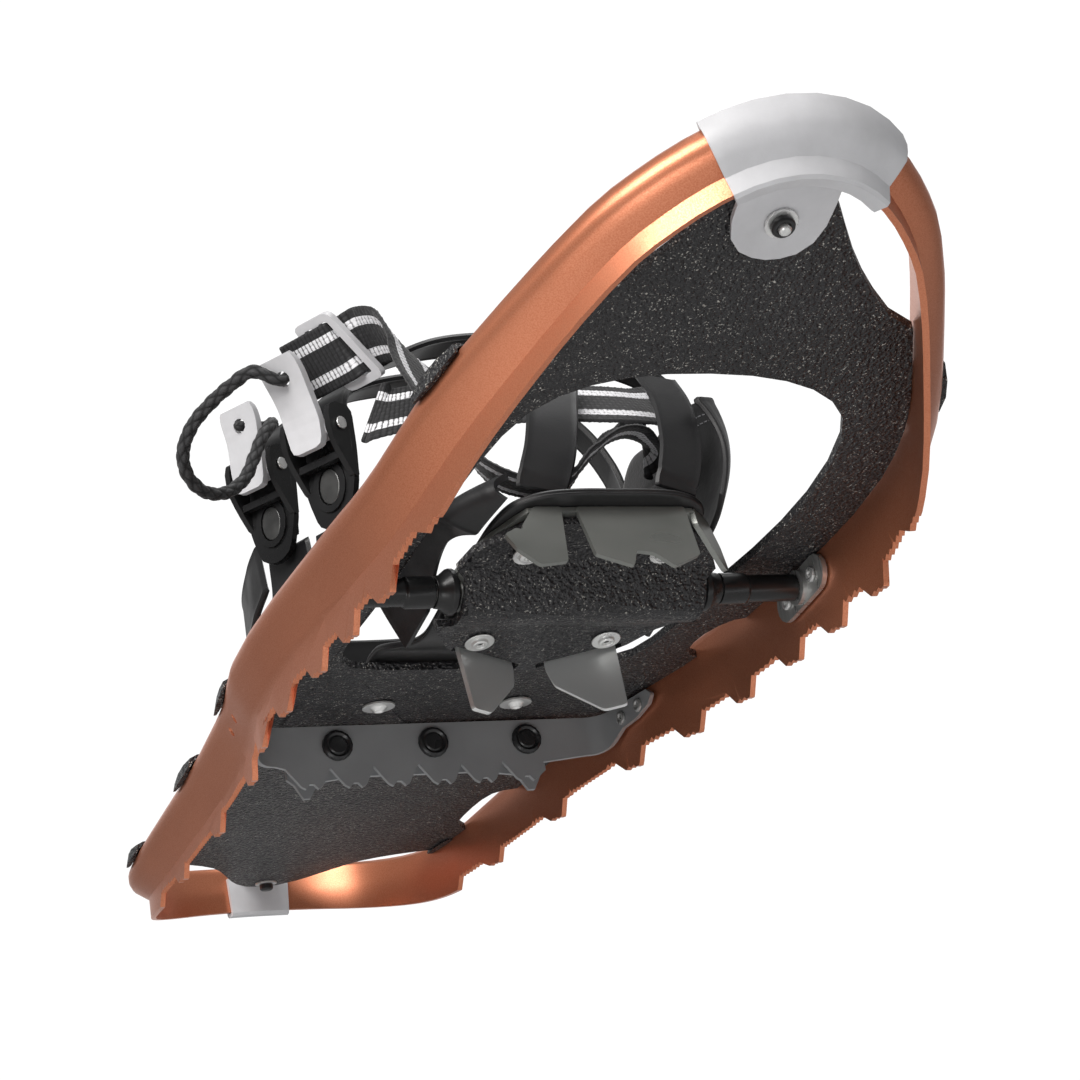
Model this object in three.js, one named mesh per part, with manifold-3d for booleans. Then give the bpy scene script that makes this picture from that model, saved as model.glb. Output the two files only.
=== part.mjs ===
// Snowshoe with a pivoting toe crampon and a lever-buckle binding (right foot).
// Millimetres. +X is the wearer's right, +Y runs to the nose, +Z is up.
import * as THREE from 'three';
import { mergeVertices, mergeGeometries } from 'three/addons/utils/BufferGeometryUtils.js';
import Module from 'manifold-3d';
const wasm = await Module();
wasm.setup();

// ---------------------------------------------------------------- driving dimensions
const SCALE = 0.92;            // drawing units to real millimetres
const GAP = 0.33;              // clearance between neighbouring pieces
const BLADE_T = 2.4;           // thickness of the toothed blade
const BULGE = 11.3;            // how far the rolled top stands outside the blade
const VALLEY = 8.6;            // depth of the gaps between the big teeth
const DECK_T = 3.2;            // deck thickness
const AXLE_Y = 107, AXLE_Z = 24, AXLE_R = 4.0;
const SLEEVE_R = 5.3, COLLAR_R = 8.8;
const TILT = 12 * Math.PI / 180;   // the binding hangs toe-up by this angle
const CROSSBAR_Y = -65;

// inner face of the blade along its lower line, nose to tail: x, y, z
const RAIL = [[0, 332, 76.5], [15, 329.6, 75], [29.7, 321, 70.8], [41.2, 310.5, 65.8], [50, 300, 61], [58.6, 285, 53.9], [65.9, 270, 46.7], [72.6, 255, 39.1],
  [79.1, 240, 31.2], [84.9, 225, 23], [89.6, 208, 14.2], [93.2, 188, 6.2], [95.4, 166, 1.6], [96.6, 140, 0.1], [97, 100, 0], [97, 44.6, 0], [94.3, 0, 0], [85.8, -45, 0],
  [79.4, -120, 0], [76.4, -196, 0], [74.9, -240, 0.3], [73.2, -266, 2], [69.2, -290, 5.2], [61.5, -311, 9.4], [48, -329, 14], [26, -341, 18], [0, -344.5, 19.3]];
const HEIGHT = [[-344.5, 24], [-300, 26.5], [-250, 31], [-200, 33], [-100, 36], [-60, 38], [0, 39], [40, 39.5], [100, 40], [160, 40], [200, 36], [230, 31], [265, 26.5], [300, 24.3], [332, 24]];
const CREASE = [[-344.5, 8.5], [-226, 11.2], [-147, 11.8], [-75, 12.4], [-14, 12.8], [33, 15], [75, 16.2], [154, 17.2], [200, 13.6], [227, 9.5], [265, 7.6], [332, 6.8]];
// deck underside height along Y
const DECKZ = [[-345, 30.5], [-300, 28.4], [-276, 27.2], [-245, 26.4], [-235, 26.2], [-135, 26.2], [-125, 26.6], [-75, 29.4], [-65, 29.8], [0, 30], [50, 30.8], [115, 32.4], [140, 33.8], [162, 35.4], [185, 38], [208, 42], [230, 47.4], [254, 55.4], [280, 66], [305, 77], [330, 87.8]];

const lerpTable = (tab, t) => {
  if (t <= tab[0][0]) return tab[0][1];
  for (let i = 1; i < tab.length; i++) if (t <= tab[i][0]) {
    const [a, b] = tab[i - 1], [c, d] = tab[i];
    return b + (d - b) * (t - a) / (c - a);
  }
  return tab[tab.length - 1][1];
};
// smoothed look-up
const smoothTable = (tab, t, w = 10) => { let s = 0; for (let k = -2; k <= 2; k++) s += lerpTable(tab, t + k * w / 2); return s / 5; };
const deckZ = (y) => (y > -230 && y < -140) ? 26.2 : smoothTable(DECKZ, y, 8);

// ---------------------------------------------------------------- mesh helpers
function geo(pos, idx) {
  const g = new THREE.BufferGeometry();
  g.setAttribute('position', new THREE.Float32BufferAttribute(pos, 3));
  g.setIndex(idx);
  return g;
}
const clean = (g) => { const h = g.clone(); for (const k of Object.keys(h.attributes)) if (k !== 'position') h.deleteAttribute(k); return mergeVertices(h, 1e-4); };
const toMan = (g) => { const h = clean(g); return new wasm.Manifold(new wasm.Mesh({ numProp: 3, vertProperties: new Float32Array(h.attributes.position.array), triVerts: new Uint32Array(h.index.array) })); };
const fromMan = (m) => { const q = m.getMesh(); const p = []; for (let i = 0; i < q.vertProperties.length; i += q.numProp) p.push(q.vertProperties[i], q.vertProperties[i + 1], q.vertProperties[i + 2]); return geo(p, Array.from(q.triVerts)); };
const union = (...gs) => fromMan(gs.map(toMan).reduce((a, b) => a.add(b)));
const cut = (g, ...hs) => { let m = toMan(g); for (const h of hs) m = m.subtract(toMan(h)); return fromMan(m); };
const both = (g, h) => fromMan(toMan(g).intersect(toMan(h)));
const flip = (g) => { const h = clean(g); const a = h.index.array; for (let i = 0; i < a.length; i += 3) { const t = a[i]; a[i] = a[i + 1]; a[i + 1] = t; } return h; };
const volume = (g) => { const h = clean(g), p = h.attributes.position, a = h.index.array; let v = 0; const A = new THREE.Vector3(), B = new THREE.Vector3(), C = new THREE.Vector3(); for (let i = 0; i < a.length; i += 3) { A.fromBufferAttribute(p, a[i]); B.fromBufferAttribute(p, a[i + 1]); C.fromBufferAttribute(p, a[i + 2]); v += A.dot(B.cross(C)) / 6; } return v; };
const outward = (g) => volume(g) < 0 ? flip(g) : g;
const mirrorX = (g) => { const h = g.clone(); h.applyMatrix4(new THREE.Matrix4().makeScale(-1, 1, 1)); return outward(flip(h)); };
const V = (x, y, z) => new THREE.Vector3(x, y, z);

// a cylinder or any lathe profile with its axis from point a along direction d
function orient(g, a, d) { // g has its axis on +Y
  const q = new THREE.Quaternion().setFromUnitVectors(V(0, 1, 0), d.clone().normalize());
  const h = g.clone(); h.applyQuaternion(q); h.translate(a.x, a.y, a.z); return h;
}
function turned(profile, a, d, n = 20) { // profile: [radius, height] pairs, on the axis at both ends or closed
  const big = Math.max(...profile.map((p) => p[0])); n = Math.min(n, big < 4.1 ? 12 : big < 8 ? 16 : 20);
  const g = clean(new THREE.LatheGeometry(profile.map(([r, h]) => new THREE.Vector2(r, h)), n));
  return outward(orient(dropDegenerate(g), a, d));
}
function dropDegenerate(g) { const a = g.index.array, o = []; for (let i = 0; i < a.length; i += 3) if (a[i] !== a[i + 1] && a[i + 1] !== a[i + 2] && a[i] !== a[i + 2]) o.push(a[i], a[i + 1], a[i + 2]); const h = g.clone(); h.setIndex(o); return h; }
const rod = (r, a, b, n = 24) => { const d = b.clone().sub(a), L = d.length(); return turned([[0, 0], [r, 0], [r, L], [0, L]], a, d, n); };
const ring = (ri, ro, a, d, L, n = 28) => turned([[ri, 0], [ro, 0], [ro, L], [ri, L], [ri, 0]], a, d, n);

// flat plate from an outline (2D points) with holes, extruded +Z by t
const area2 = (o) => o.reduce((s, p, i) => { const q = o[(i + 1) % o.length]; return s + p[0] * q[1] - q[0] * p[1]; }, 0);
function plate(outline, t, holes = []) {
  const ccw = (o, want) => ((area2(o) > 0) === want ? o : o.slice().reverse()).map(([x, y]) => new THREE.Vector2(x, y));
  const s = new THREE.Shape(ccw(outline, true));
  for (const h of holes) s.holes.push(new THREE.Path(ccw(h, false)));
  return outward(clean(new THREE.ExtrudeGeometry(s, { depth: t, bevelEnabled: false, steps: 1 })));
}
const circle = (cx, cy, r, n = 20) => Array.from({ length: n }, (_, i) => [cx + r * Math.cos(i / n * 2 * Math.PI), cy + r * Math.sin(i / n * 2 * Math.PI)]);
// round the corners of a polygon
function rounded(pts, r, n = 3) {
  const out = [];
  for (let i = 0; i < pts.length; i++) {
    const p = pts[(i + pts.length - 1) % pts.length], c = pts[i], q = pts[(i + 1) % pts.length];
    const a = Math.hypot(p[0] - c[0], p[1] - c[1]), b = Math.hypot(q[0] - c[0], q[1] - c[1]);
    const rr = Math.min(r, a * 0.4, b * 0.4);
    const A = [c[0] + (p[0] - c[0]) / a * rr, c[1] + (p[1] - c[1]) / a * rr], B = [c[0] + (q[0] - c[0]) / b * rr, c[1] + (q[1] - c[1]) / b * rr];
    for (let k = 0; k <= n; k++) { const t = k / n; out.push([(1 - t) ** 2 * A[0] + 2 * t * (1 - t) * c[0] + t * t * B[0], (1 - t) ** 2 * A[1] + 2 * t * (1 - t) * c[1] + t * t * B[1]]); }
  }
  return out;
}
// smooth curve through points (2D or 3D arrays)
function smooth(pts, n, closed = false) {
  const c = new THREE.CatmullRomCurve3(pts.map((p) => V(p[0], p[1], p[2] || 0)), closed, 'centripetal');
  return c.getSpacedPoints(n).slice(0, closed ? n : n + 1).map((p) => pts[0].length > 2 ? [p.x, p.y, p.z] : [p.x, p.y]);
}
// split every edge that spans more than L along Y, so that a flat plate can follow a curve
function splitY(g, L) {
  let h = clean(g);
  for (let pass = 0; pass < 9; pass++) {
    const p = Array.from(h.attributes.position.array), a = h.index.array, o = [], mid = new Map();
    let any = false;
    const m = (i, j) => {
      if (Math.abs(p[3 * i + 1] - p[3 * j + 1]) <= (typeof L === 'function' ? L((p[3 * i + 1] + p[3 * j + 1]) / 2) : L)) return -1;
      const k = i < j ? i + '_' + j : j + '_' + i;
      if (!mid.has(k)) { mid.set(k, p.length / 3); p.push((p[3 * i] + p[3 * j]) / 2, (p[3 * i + 1] + p[3 * j + 1]) / 2, (p[3 * i + 2] + p[3 * j + 2]) / 2); }
      any = true; return mid.get(k);
    };
    for (let i = 0; i < a.length; i += 3) {
      const v = [a[i], a[i + 1], a[i + 2]]; let e = [m(v[0], v[1]), m(v[1], v[2]), m(v[2], v[0])];
      const c = e.filter((x) => x >= 0).length;
      if (c === 0) { o.push(...v); continue; }
      if (c === 3) { o.push(v[0], e[0], e[2], e[0], v[1], e[1], e[2], e[1], v[2], e[0], e[1], e[2]); continue; }
      if (c === 1) { while (e[0] < 0) { e = [e[1], e[2], e[0]]; v.push(v.shift()); } o.push(v[0], e[0], v[2], e[0], v[1], v[2]); continue; }
      while (e[2] >= 0) { e = [e[1], e[2], e[0]]; v.push(v.shift()); }
      o.push(e[0], v[1], e[1], v[0], e[0], e[1], v[0], e[1], v[2]);
    }
    h = geo(p, o);
    if (!any) break;
  }
  return h;
}
function bend(g, f) { const h = g.clone(), p = h.attributes.position; for (let i = 0; i < p.count; i++) { const [x, y, z] = f(p.getX(i), p.getY(i), p.getZ(i)); p.setXYZ(i, x, y, z); } return h; }

// sweep a polygon section along stations; each station gives its section as 3D points; closed ring or capped ends
function loft(rings, closed = false) {
  const n = rings[0].length, m = rings.length, pos = [], idx = [];
  for (const r of rings) for (const p of r) pos.push(p[0], p[1], p[2]);
  const q = closed ? m : m - 1;
  for (let i = 0; i < q; i++) for (let j = 0; j < n; j++) { const a = i * n + j, b = i * n + (j + 1) % n, c = ((i + 1) % m) * n + j, d = ((i + 1) % m) * n + (j + 1) % n; idx.push(a, b, c, b, d, c); }
  if (!closed) {
    for (const [e, rev] of [[0, false], [m - 1, true]]) {
      // cap: triangulate the section polygon in its own plane
      const P = rings[e].map((p) => V(...p)); const o = P[0]; const nrm = V(0, 0, 0);
      for (let j = 0; j < n; j++) nrm.add(P[j].clone().sub(o).cross(P[(j + 1) % n].clone().sub(o)));
      nrm.normalize(); const u = V(1, 0, 0); if (Math.abs(nrm.x) > 0.8) u.set(0, 1, 0); u.sub(nrm.clone().multiplyScalar(u.dot(nrm))).normalize(); const w = nrm.clone().cross(u);
      const c2 = P.map((p) => new THREE.Vector2(p.clone().sub(o).dot(u), p.clone().sub(o).dot(w)));
      for (const t of THREE.ShapeUtils.triangulateShape(c2, [])) { const tri = t.map((k) => e * n + k); idx.push(...(rev ? tri : [tri[0], tri[2], tri[1]])); }
    }
  }
  return outward(clean(geo(pos, idx)));
}
// flat band of given width and thickness along a 3D path; side(t) gives the width direction
function band(path, width, thick, side, opts = {}) {
  const pts = smooth(path, opts.n || 22), rings = [];
  for (let i = 0; i < pts.length; i++) {
    const t = i / (pts.length - 1), a = V(...pts[Math.max(0, i - 1)]), b = V(...pts[Math.min(pts.length - 1, i + 1)]), T = b.sub(a).normalize();
    const sd = side(t).clone(); sd.sub(T.clone().multiplyScalar(sd.dot(T))).normalize(); const N = T.clone().cross(sd);
    const w = (typeof width === 'function' ? width(t) : width) / 2, h = (typeof thick === 'function' ? thick(t) : thick) / 2, P = V(...pts[i]);
    const sec = [[-w, -h], [w, -h], [w, h], [-w, h]];
    rings.push(sec.map(([x, y]) => P.clone().addScaledVector(sd, x).addScaledVector(N, y).toArray()));
  }
  return loft(rings);
}
// closed shell from a surface f(u,v) -> [x,y,z], offset along its normal by thick
function shell(f, nu, nv, thick) {
  const P = [], N = [];
  for (let i = 0; i <= nu; i++) for (let j = 0; j <= nv; j++) {
    const u = i / nu, v = j / nv, e = 1e-3, p = V(...f(u, v));
    const du = V(...f(Math.min(1, u + e), v)).sub(V(...f(Math.max(0, u - e), v))), dv = V(...f(u, Math.min(1, v + e))).sub(V(...f(u, Math.max(0, v - e))));
    P.push(p); N.push(du.cross(dv).normalize());
  }
  const M = P.length, pos = []; for (const p of P) pos.push(p.x, p.y, p.z); P.forEach((p, i) => { const q = p.clone().addScaledVector(N[i], thick); pos.push(q.x, q.y, q.z); });
  const id = (i, j, k) => k * M + i * (nv + 1) + j, idx = [];
  const quad = (a, b, c, d) => idx.push(a, b, c, a, c, d);
  for (let i = 0; i < nu; i++) for (let j = 0; j < nv; j++) { quad(id(i, j, 0), id(i, j + 1, 0), id(i + 1, j + 1, 0), id(i + 1, j, 0)); quad(id(i, j, 1), id(i + 1, j, 1), id(i + 1, j + 1, 1), id(i, j + 1, 1)); }
  for (let i = 0; i < nu; i++) { quad(id(i, 0, 0), id(i + 1, 0, 0), id(i + 1, 0, 1), id(i, 0, 1)); quad(id(i, nv, 0), id(i, nv, 1), id(i + 1, nv, 1), id(i + 1, nv, 0)); }
  for (let j = 0; j < nv; j++) { quad(id(0, j, 0), id(0, j, 1), id(0, j + 1, 1), id(0, j + 1, 0)); quad(id(nu, j, 0), id(nu, j + 1, 0), id(nu, j + 1, 1), id(nu, j, 1)); }
  return outward(clean(geo(pos, idx)));
}

// ---------------------------------------------------------------- scene
const scene = new THREE.Group();
scene.name = 'snowshoe';
const MAT = {
  frame: [0x8f4a33, 0.38, 0.85], plastic_grey: [0xb9b6b6, 0.45, 0.0], deck: [0x17181a, 0.6, 0.0], steel: [0x9a9c98, 0.35, 0.9], steel_dark: [0x6d706b, 0.4, 0.85],
  bar: [0x3d3f41, 0.45, 0.7], black: [0x101113, 0.4, 0.0], tpu: [0x1d1e21, 0.45, 0.0], web: [0x0d0d0e, 0.8, 0.0], cord: [0x0b0b0c, 0.85, 0.0], bright: [0xc4c6c6, 0.25, 1.0], pad: [0x141416, 0.9, 0.0],
};
const meshes = {};
function add(name, g, mat) {
  const [c, r, m] = MAT[mat];
  const h = outward(clean(g)); h.computeVertexNormals();
  const mesh = new THREE.Mesh(h, new THREE.MeshStandardMaterial({ color: c, roughness: r, metalness: m }));
  mesh.name = name; meshes[name] = mesh; scene.add(mesh); return mesh;
}

// ---------------------------------------------------------------- frame rail
// arc-length table of the right-hand half (x >= 0)
const rail = new THREE.CatmullRomCurve3([[-15, 329.6, 75], ...RAIL, [-26, -341, 18]].map((p) => V(...p)), false, 'centripetal');
const HALF = (() => {
  const N = 4000, all = []; for (let i = 0; i <= N; i++) all.push(rail.getPoint(i / N));
  // keep from the nose (x=0) to the tail (x=0)
  let a = 0; while (all[a].x < -1e-6) a++; let b = N; while (all[b].x < -1e-6) b--;
  const h = all.slice(a, b + 1); h[0] = V(0, 332, 76.5); h[h.length - 1] = V(0, -344.5, 19.3); return h;
})();
const S = [0]; for (let i = 1; i < HALF.length; i++) S.push(S[i - 1] + HALF[i].distanceTo(HALF[i - 1]));
const STOT = S[S.length - 1];
function at(s) { // position and tangent on the +X half, mirrored smoothly past its ends
  s = Math.max(0, Math.min(STOT, s)); let lo = 0, hi = S.length - 1; while (hi - lo > 1) { const m = (lo + hi) >> 1; if (S[m] <= s) lo = m; else hi = m; }
  const t = (s - S[lo]) / (S[hi] - S[lo] || 1); return HALF[lo].clone().lerp(HALF[hi], t);
}
function frameAt(s) {
  const P = at(s), e = 4; let A, B;
  if (s - e < 0) { A = at(e - s); A.x = -A.x; } else A = at(s - e);
  if (s + e > STOT) { B = at(2 * STOT - s - e); B.x = -B.x; } else B = at(s + e);
  const T = B.sub(A).normalize(); const N = V(-T.y, T.x, 0).normalize(); if (N.dot(V(P.x, P.y * 0.2, 0)) < 0) N.negate();
  if (s < 3) N.set(0, 1, 0); if (s > STOT - 3) N.set(0, -1, 0);
  const U = V(0, 0, 1).sub(T.clone().multiplyScalar(T.z)).normalize();
  return { P, T, N, U };
}
const sAtY = (y) => { let lo = 0, hi = HALF.length - 1; while (hi - lo > 1) { const m = (lo + hi) >> 1; if (HALF[m].y >= y) lo = m; else hi = m; } return S[lo]; };
// section of the band above the blade, from the inner face over the top to the outer crease
function upper(y) {
  const H = smoothTable(HEIGHT, y, 20), c = smoothTable(CREASE, y, 20), B = y > 285 ? BULGE - 1.2 * Math.min(1, (y - 285) / 40) : BULGE;
  return { H, c, pts: [[0, c], [0, H - 4.5], [0.5, H - 2], [2, H - 0.6], [4.2, H], [B - 3.6, H - 0.7], [B - 1.4, H - 2.6], [B, H - 5.6], [B, H - 8.4], [B - 1.4, H - 11.4], [BLADE_T + (B - BLADE_T) * 0.52, c + (H - 11 - c) * 0.56], [BLADE_T + (B - BLADE_T) * 0.22, c + (H - 11 - c) * 0.22], [BLADE_T, c]] };
}
const put = (F, n, z) => [F.P.x + F.N.x * n + F.U.x * z, F.P.y + F.N.y * n + F.U.y * z, F.P.z + F.N.z * n + F.U.z * z];
// lower edge of the blade: list of [s, height above the tip line]
const TIPS = [208.2, 166.7, 128.8, 90.4, 44.6, 0, -45.7, -122.2, -197.7, -251.6];
const PITCH = [4.4, 4.4, 4.2, 4.2, 4.2, 3.7, 3.9, 4.2, 4.4];
function edgePoints() {
  const L = [];
  for (let s = 0; s < sAtY(TIPS[0]) - 6; s += s < 60 ? 8 : 13) L.push([s, 0]);
  for (let i = 0; i < TIPS.length - 1; i++) {
    const s0 = sAtY(TIPS[i]), s1 = sAtY(TIPS[i + 1]), d = s1 - s0, V0 = VALLEY * (i < 7 ? 1 : 0.82);
    L.push([s0, 0]); // leading corner of the tooth, then two small points
    L.push([s0 + 2.8, 0.3], [s0 + 4.2, 1.6], [s0 + 6.6, 0.9], [s0 + 8.0, 2.1], [s0 + 10.6, 1.2], [s0 + 11.4, 1.3]);
    const a = s0 + 18.6, b = s1 - 4.6; L.push([a, V0 - 0.4]);
    const n = Math.max(2, Math.round((b - a) / PITCH[i])), w = (b - a) / n;
    for (let k = 0; k < n; k++) L.push([a + w * (k + 0.52), V0 - 1.5], [a + w * (k + 0.86), V0 + (k === n - 1 ? 0.3 : 0.1)]);
    L.push([s1 - 0.9, 1.2]);
  }
  const e = sAtY(TIPS[9]); L.push([e, 0], [e + 3, 0]);
  for (let s = e + 12; s < STOT - 4; s += 9) L.push([s, 0]);
  L.push([STOT, 0]);
  return L;
}
const EDGE = edgePoints();
function railGeometry() {
  const st = []; // stations along the half
  const marks = []; for (let s = 0; s < STOT; ) { marks.push(s); const y = at(s).y; s += y > 285 ? 8.2 : y > 150 ? 16 : y > 20 ? 34 : y > -70 ? 18 : y > -230 ? 40 : 10; }
  if (STOT - marks[marks.length - 1] < 3) marks.pop(); marks.push(STOT);
  const mk = (s, sign) => { const F = frameAt(s), y = F.P.y; const u = upper(y); return { s, sign, F, u }; };
  for (const s of marks) st.push(mk(s, 1)); for (let i = marks.length - 2; i > 0; i--) st.push(mk(marks[i], -1));
  const low = []; for (const [s, h] of EDGE) low.push([s, h, 1]); for (let i = EDGE.length - 2; i > 0; i--) low.push([EDGE[i][0], EDGE[i][1], -1]);
  const pos = [], idx = []; const vert = (p, sign) => { pos.push(p[0] * sign, p[1], p[2]); return pos.length / 3 - 1; };
  const up = st.map((o) => o.u.pts.map(([n, z]) => vert(put(o.F, n, z), o.sign)));
  const inL = [], outL = []; for (const [s, h, sign] of low) { const F = frameAt(s); inL.push(vert(put(F, 0, h), sign)); outL.push(vert(put(F, BLADE_T, h), sign)); }
  const M = st.length, K = st[0].u.pts.length, Q = low.length;
  for (let i = 0; i < M; i++) for (let j = 0; j < K - 1; j++) { const a = up[i][j], b = up[i][j + 1], c = up[(i + 1) % M][j], d = up[(i + 1) % M][j + 1]; idx.push(a, b, c, b, d, c); }
  for (let i = 0; i < Q; i++) { const a = inL[i], b = outL[i], c = inL[(i + 1) % Q], d = outL[(i + 1) % Q]; idx.push(a, c, b, b, c, d); }
  // join the upper line (index line j of the stations) to the fine lower line
  const par = (s, sign, last) => sign > 0 ? s : 2 * STOT - s;
  const zip = (line, fine, rev) => {
    let i = 0, k = 0; const su = (i) => i >= M ? 2 * STOT : par(st[i].s, st[i].sign), sf = (k) => k >= Q ? 2 * STOT : par(low[k][0], low[k][2]);
    const tri = (a, b, c) => rev ? idx.push(a, c, b) : idx.push(a, b, c);
    while (i < M || k < Q) {
      if (k >= Q || (i < M && su(i + 1) <= sf(k + 1))) { tri(up[i % M][line], up[(i + 1) % M][line], fine[k % Q]); i++; }
      else { tri(up[i % M][line], fine[(k + 1) % Q], fine[k % Q]); k++; }
    }
  };
  zip(0, inL, false); zip(K - 1, outL, true);
  return outward(clean(geo(pos, idx)));
}
let railG = railGeometry();

// ---------------------------------------------------------------- deck
function innerEdge(s) { // where the inner face meets the deck height
  const F = frameAt(s); let h = 15; for (let k = 0; k < 30; k++) { const y = F.P.y + F.U.y * h; h += (deckZ(y) + DECK_T / 2 - (F.P.z + F.U.z * h)) / F.U.z * 0.8; }
  return { x: F.P.x + F.U.x * h - F.N.x * GAP, y: F.P.y + F.U.y * h - F.N.y * GAP };
}
const wallAt = (() => { const t = []; for (let s = 20; s < STOT - 40; s += 4) { const e = innerEdge(s); t.push([e.y, e.x]); } t.sort((a, b) => a[0] - b[0]); return (y) => lerpTable(t, y) - (y < 30 && y > -34 ? 0.45 : 0.1); })();
function deckOutline() {
  const R = []; // +X half from nose to tail
  R.push([0, 319.5], [8, 319], [14, 316.5], [18, 312.5]);
  for (const p of smooth([[21.5, 308.5], [28.2, 299], [36.9, 287.5], [47.5, 276.7]], 4)) R.push(p);
  const top = 263; R.push([57, 268.6]);
  const notch = (list) => { for (const p of list) R.push(p); };
  for (let y = top; y > 60; y -= y > 190 ? 16 : 28) R.push([wallAt(y), y]);
  notch([[wallAt(54.5), 54.5], [92.5, 52.5], [88.5, 46], [86, 37], [85.4, 27], [86.6, 18], [90, 12.5], [wallAt(9.5), 9.5]]);
  for (let y = -2; y > -155; y -= y > -60 ? 17 : 32) R.push([wallAt(y), y]);
  notch([[wallAt(-163), -163], [71, -165.5], [67, -170.5], [65.2, -180], [64.8, -192], [65.2, -206], [66, -216], [68.6, -223], [72, -227.5], [wallAt(-231), -231]]);
  for (const y of [-238, -247, -256, -264]) R.push([wallAt(y), y]);
  for (const p of smooth([[wallAt(-270) - 0.6, -270], [66, -271.5], [51.5, -277.5], [38.5, -287], [30, -301], [23.5, -314], [16.5, -327], [7, -336.5], [0, -338]], 11)) R.push(p);
  const half = R.filter((p, i) => i === 0 || Math.hypot(p[0] - R[i - 1][0], p[1] - R[i - 1][1]) > 0.8);
  half[half.length - 1] = [0, -338];
  return [...half, ...half.slice(1, -1).reverse().map(([x, y]) => [-x, y])];
}
const OPEN_HALF = [[0, 241.4], [16, 240.8], [30, 238.6], [42, 234.8], [52, 229], [60, 220.5], [65.2, 208], [68.6, 190], [70.4, 168], [70.8, 144], [70, 120], [68.6, 96], [68.2, 66], [68, 42], [67, 26], [64, 13], [57, 5.4], [44, 2.4], [24, 1.5], [0, 1.5]];
const opening = [...OPEN_HALF, ...OPEN_HALF.slice(1, -1).reverse().map(([x, y]) => [-x, y])];
function deckTab(y0, y1) { // hook from the deck edge over the rolled top of the rail
  const s0 = sAtY(y0), s1 = sAtY(y1), n = 3, rings = [];
  for (let i = 0; i <= n; i++) {
    const s = s0 + (s1 - s0) * i / n, F = frameAt(s), u = upper(F.P.y), H = u.H;
    // height of the deck above the tip line at this station
    let h = 15; for (let k = 0; k < 30; k++) h += (deckZ(F.P.y + F.U.y * h) - (F.P.z + F.U.z * h)) / F.U.z * 0.8;
    const edge = i === 0 || i === n ? 0.55 : 1, B = BULGE, g = GAP, t = 2.3 * edge + g, e = i === 0 || i === n ? 1.2 : 0;
    const inside = [[-g, Math.min(h + 0.35, H - 5.6)], [-g, H - 4.4], [0.3 - g, H - 1.6], [1.7, H - 0.5 + g], [4.2, H + g], [B - 3.4, H - 0.5 + g], [B - 1.1 + g * 0.7, H - 2.3 + g * 0.7], [B + g, H - 5.4 + e]];
    const outside = [[B + t, H - 5.6 + e], [B - 0.6 + t * 0.7, H - 1.6 + t * 0.7], [B - 3, H - 0.4 + t], [3, H + t - 0.2], [-1 - t * 0.4, H - 1.6 + t * 0.5], [-t - 1.4, Math.min(h + 0.35, H - 5.6)]];
    rings.push([...inside, ...outside].map(([a, b]) => put(F, a, b)));
  }
  return loft(rings);
}
const deckHoles = [];
const deckHole = (x, y, r) => { const z = deckZ(y), sl = (deckZ(y + 3) - deckZ(y - 3)) / 6, d = V(0, -sl, 1).normalize(); deckHoles.push(rod(r, V(x, y, z).addScaledVector(d, -6), V(x, y, z).addScaledVector(d, 9), 20)); return { p: V(x, y, z), d }; };
let deckG = plate(deckOutline(), DECK_T, [opening.slice().reverse()]);
deckG = bend(splitY(deckG, (y) => y > 200 ? 26 : y > 120 ? 50 : Math.abs(y + 70) < 34 ? 34 : 110), (x, y, z) => [x, y, z + deckZ(y)]);
const noseAt = deckHole(0, 305, 2.6), tailAt = deckHole(0, -327.5, 2.6), heelL = deckHole(31, -41.5, 2.6), heelR = deckHole(-31, -41.5, 2.6);
const TABS = [[247, 227], [-28, -60], [-124, -158], [-250, -277]];
const tabs = []; for (const [a, b] of TABS) { const t = deckTab(a, b); tabs.push(t, mirrorX(t)); }
deckG = cut(union(deckG, ...tabs), ...deckHoles);
add('deck', deckG, 'deck');

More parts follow.
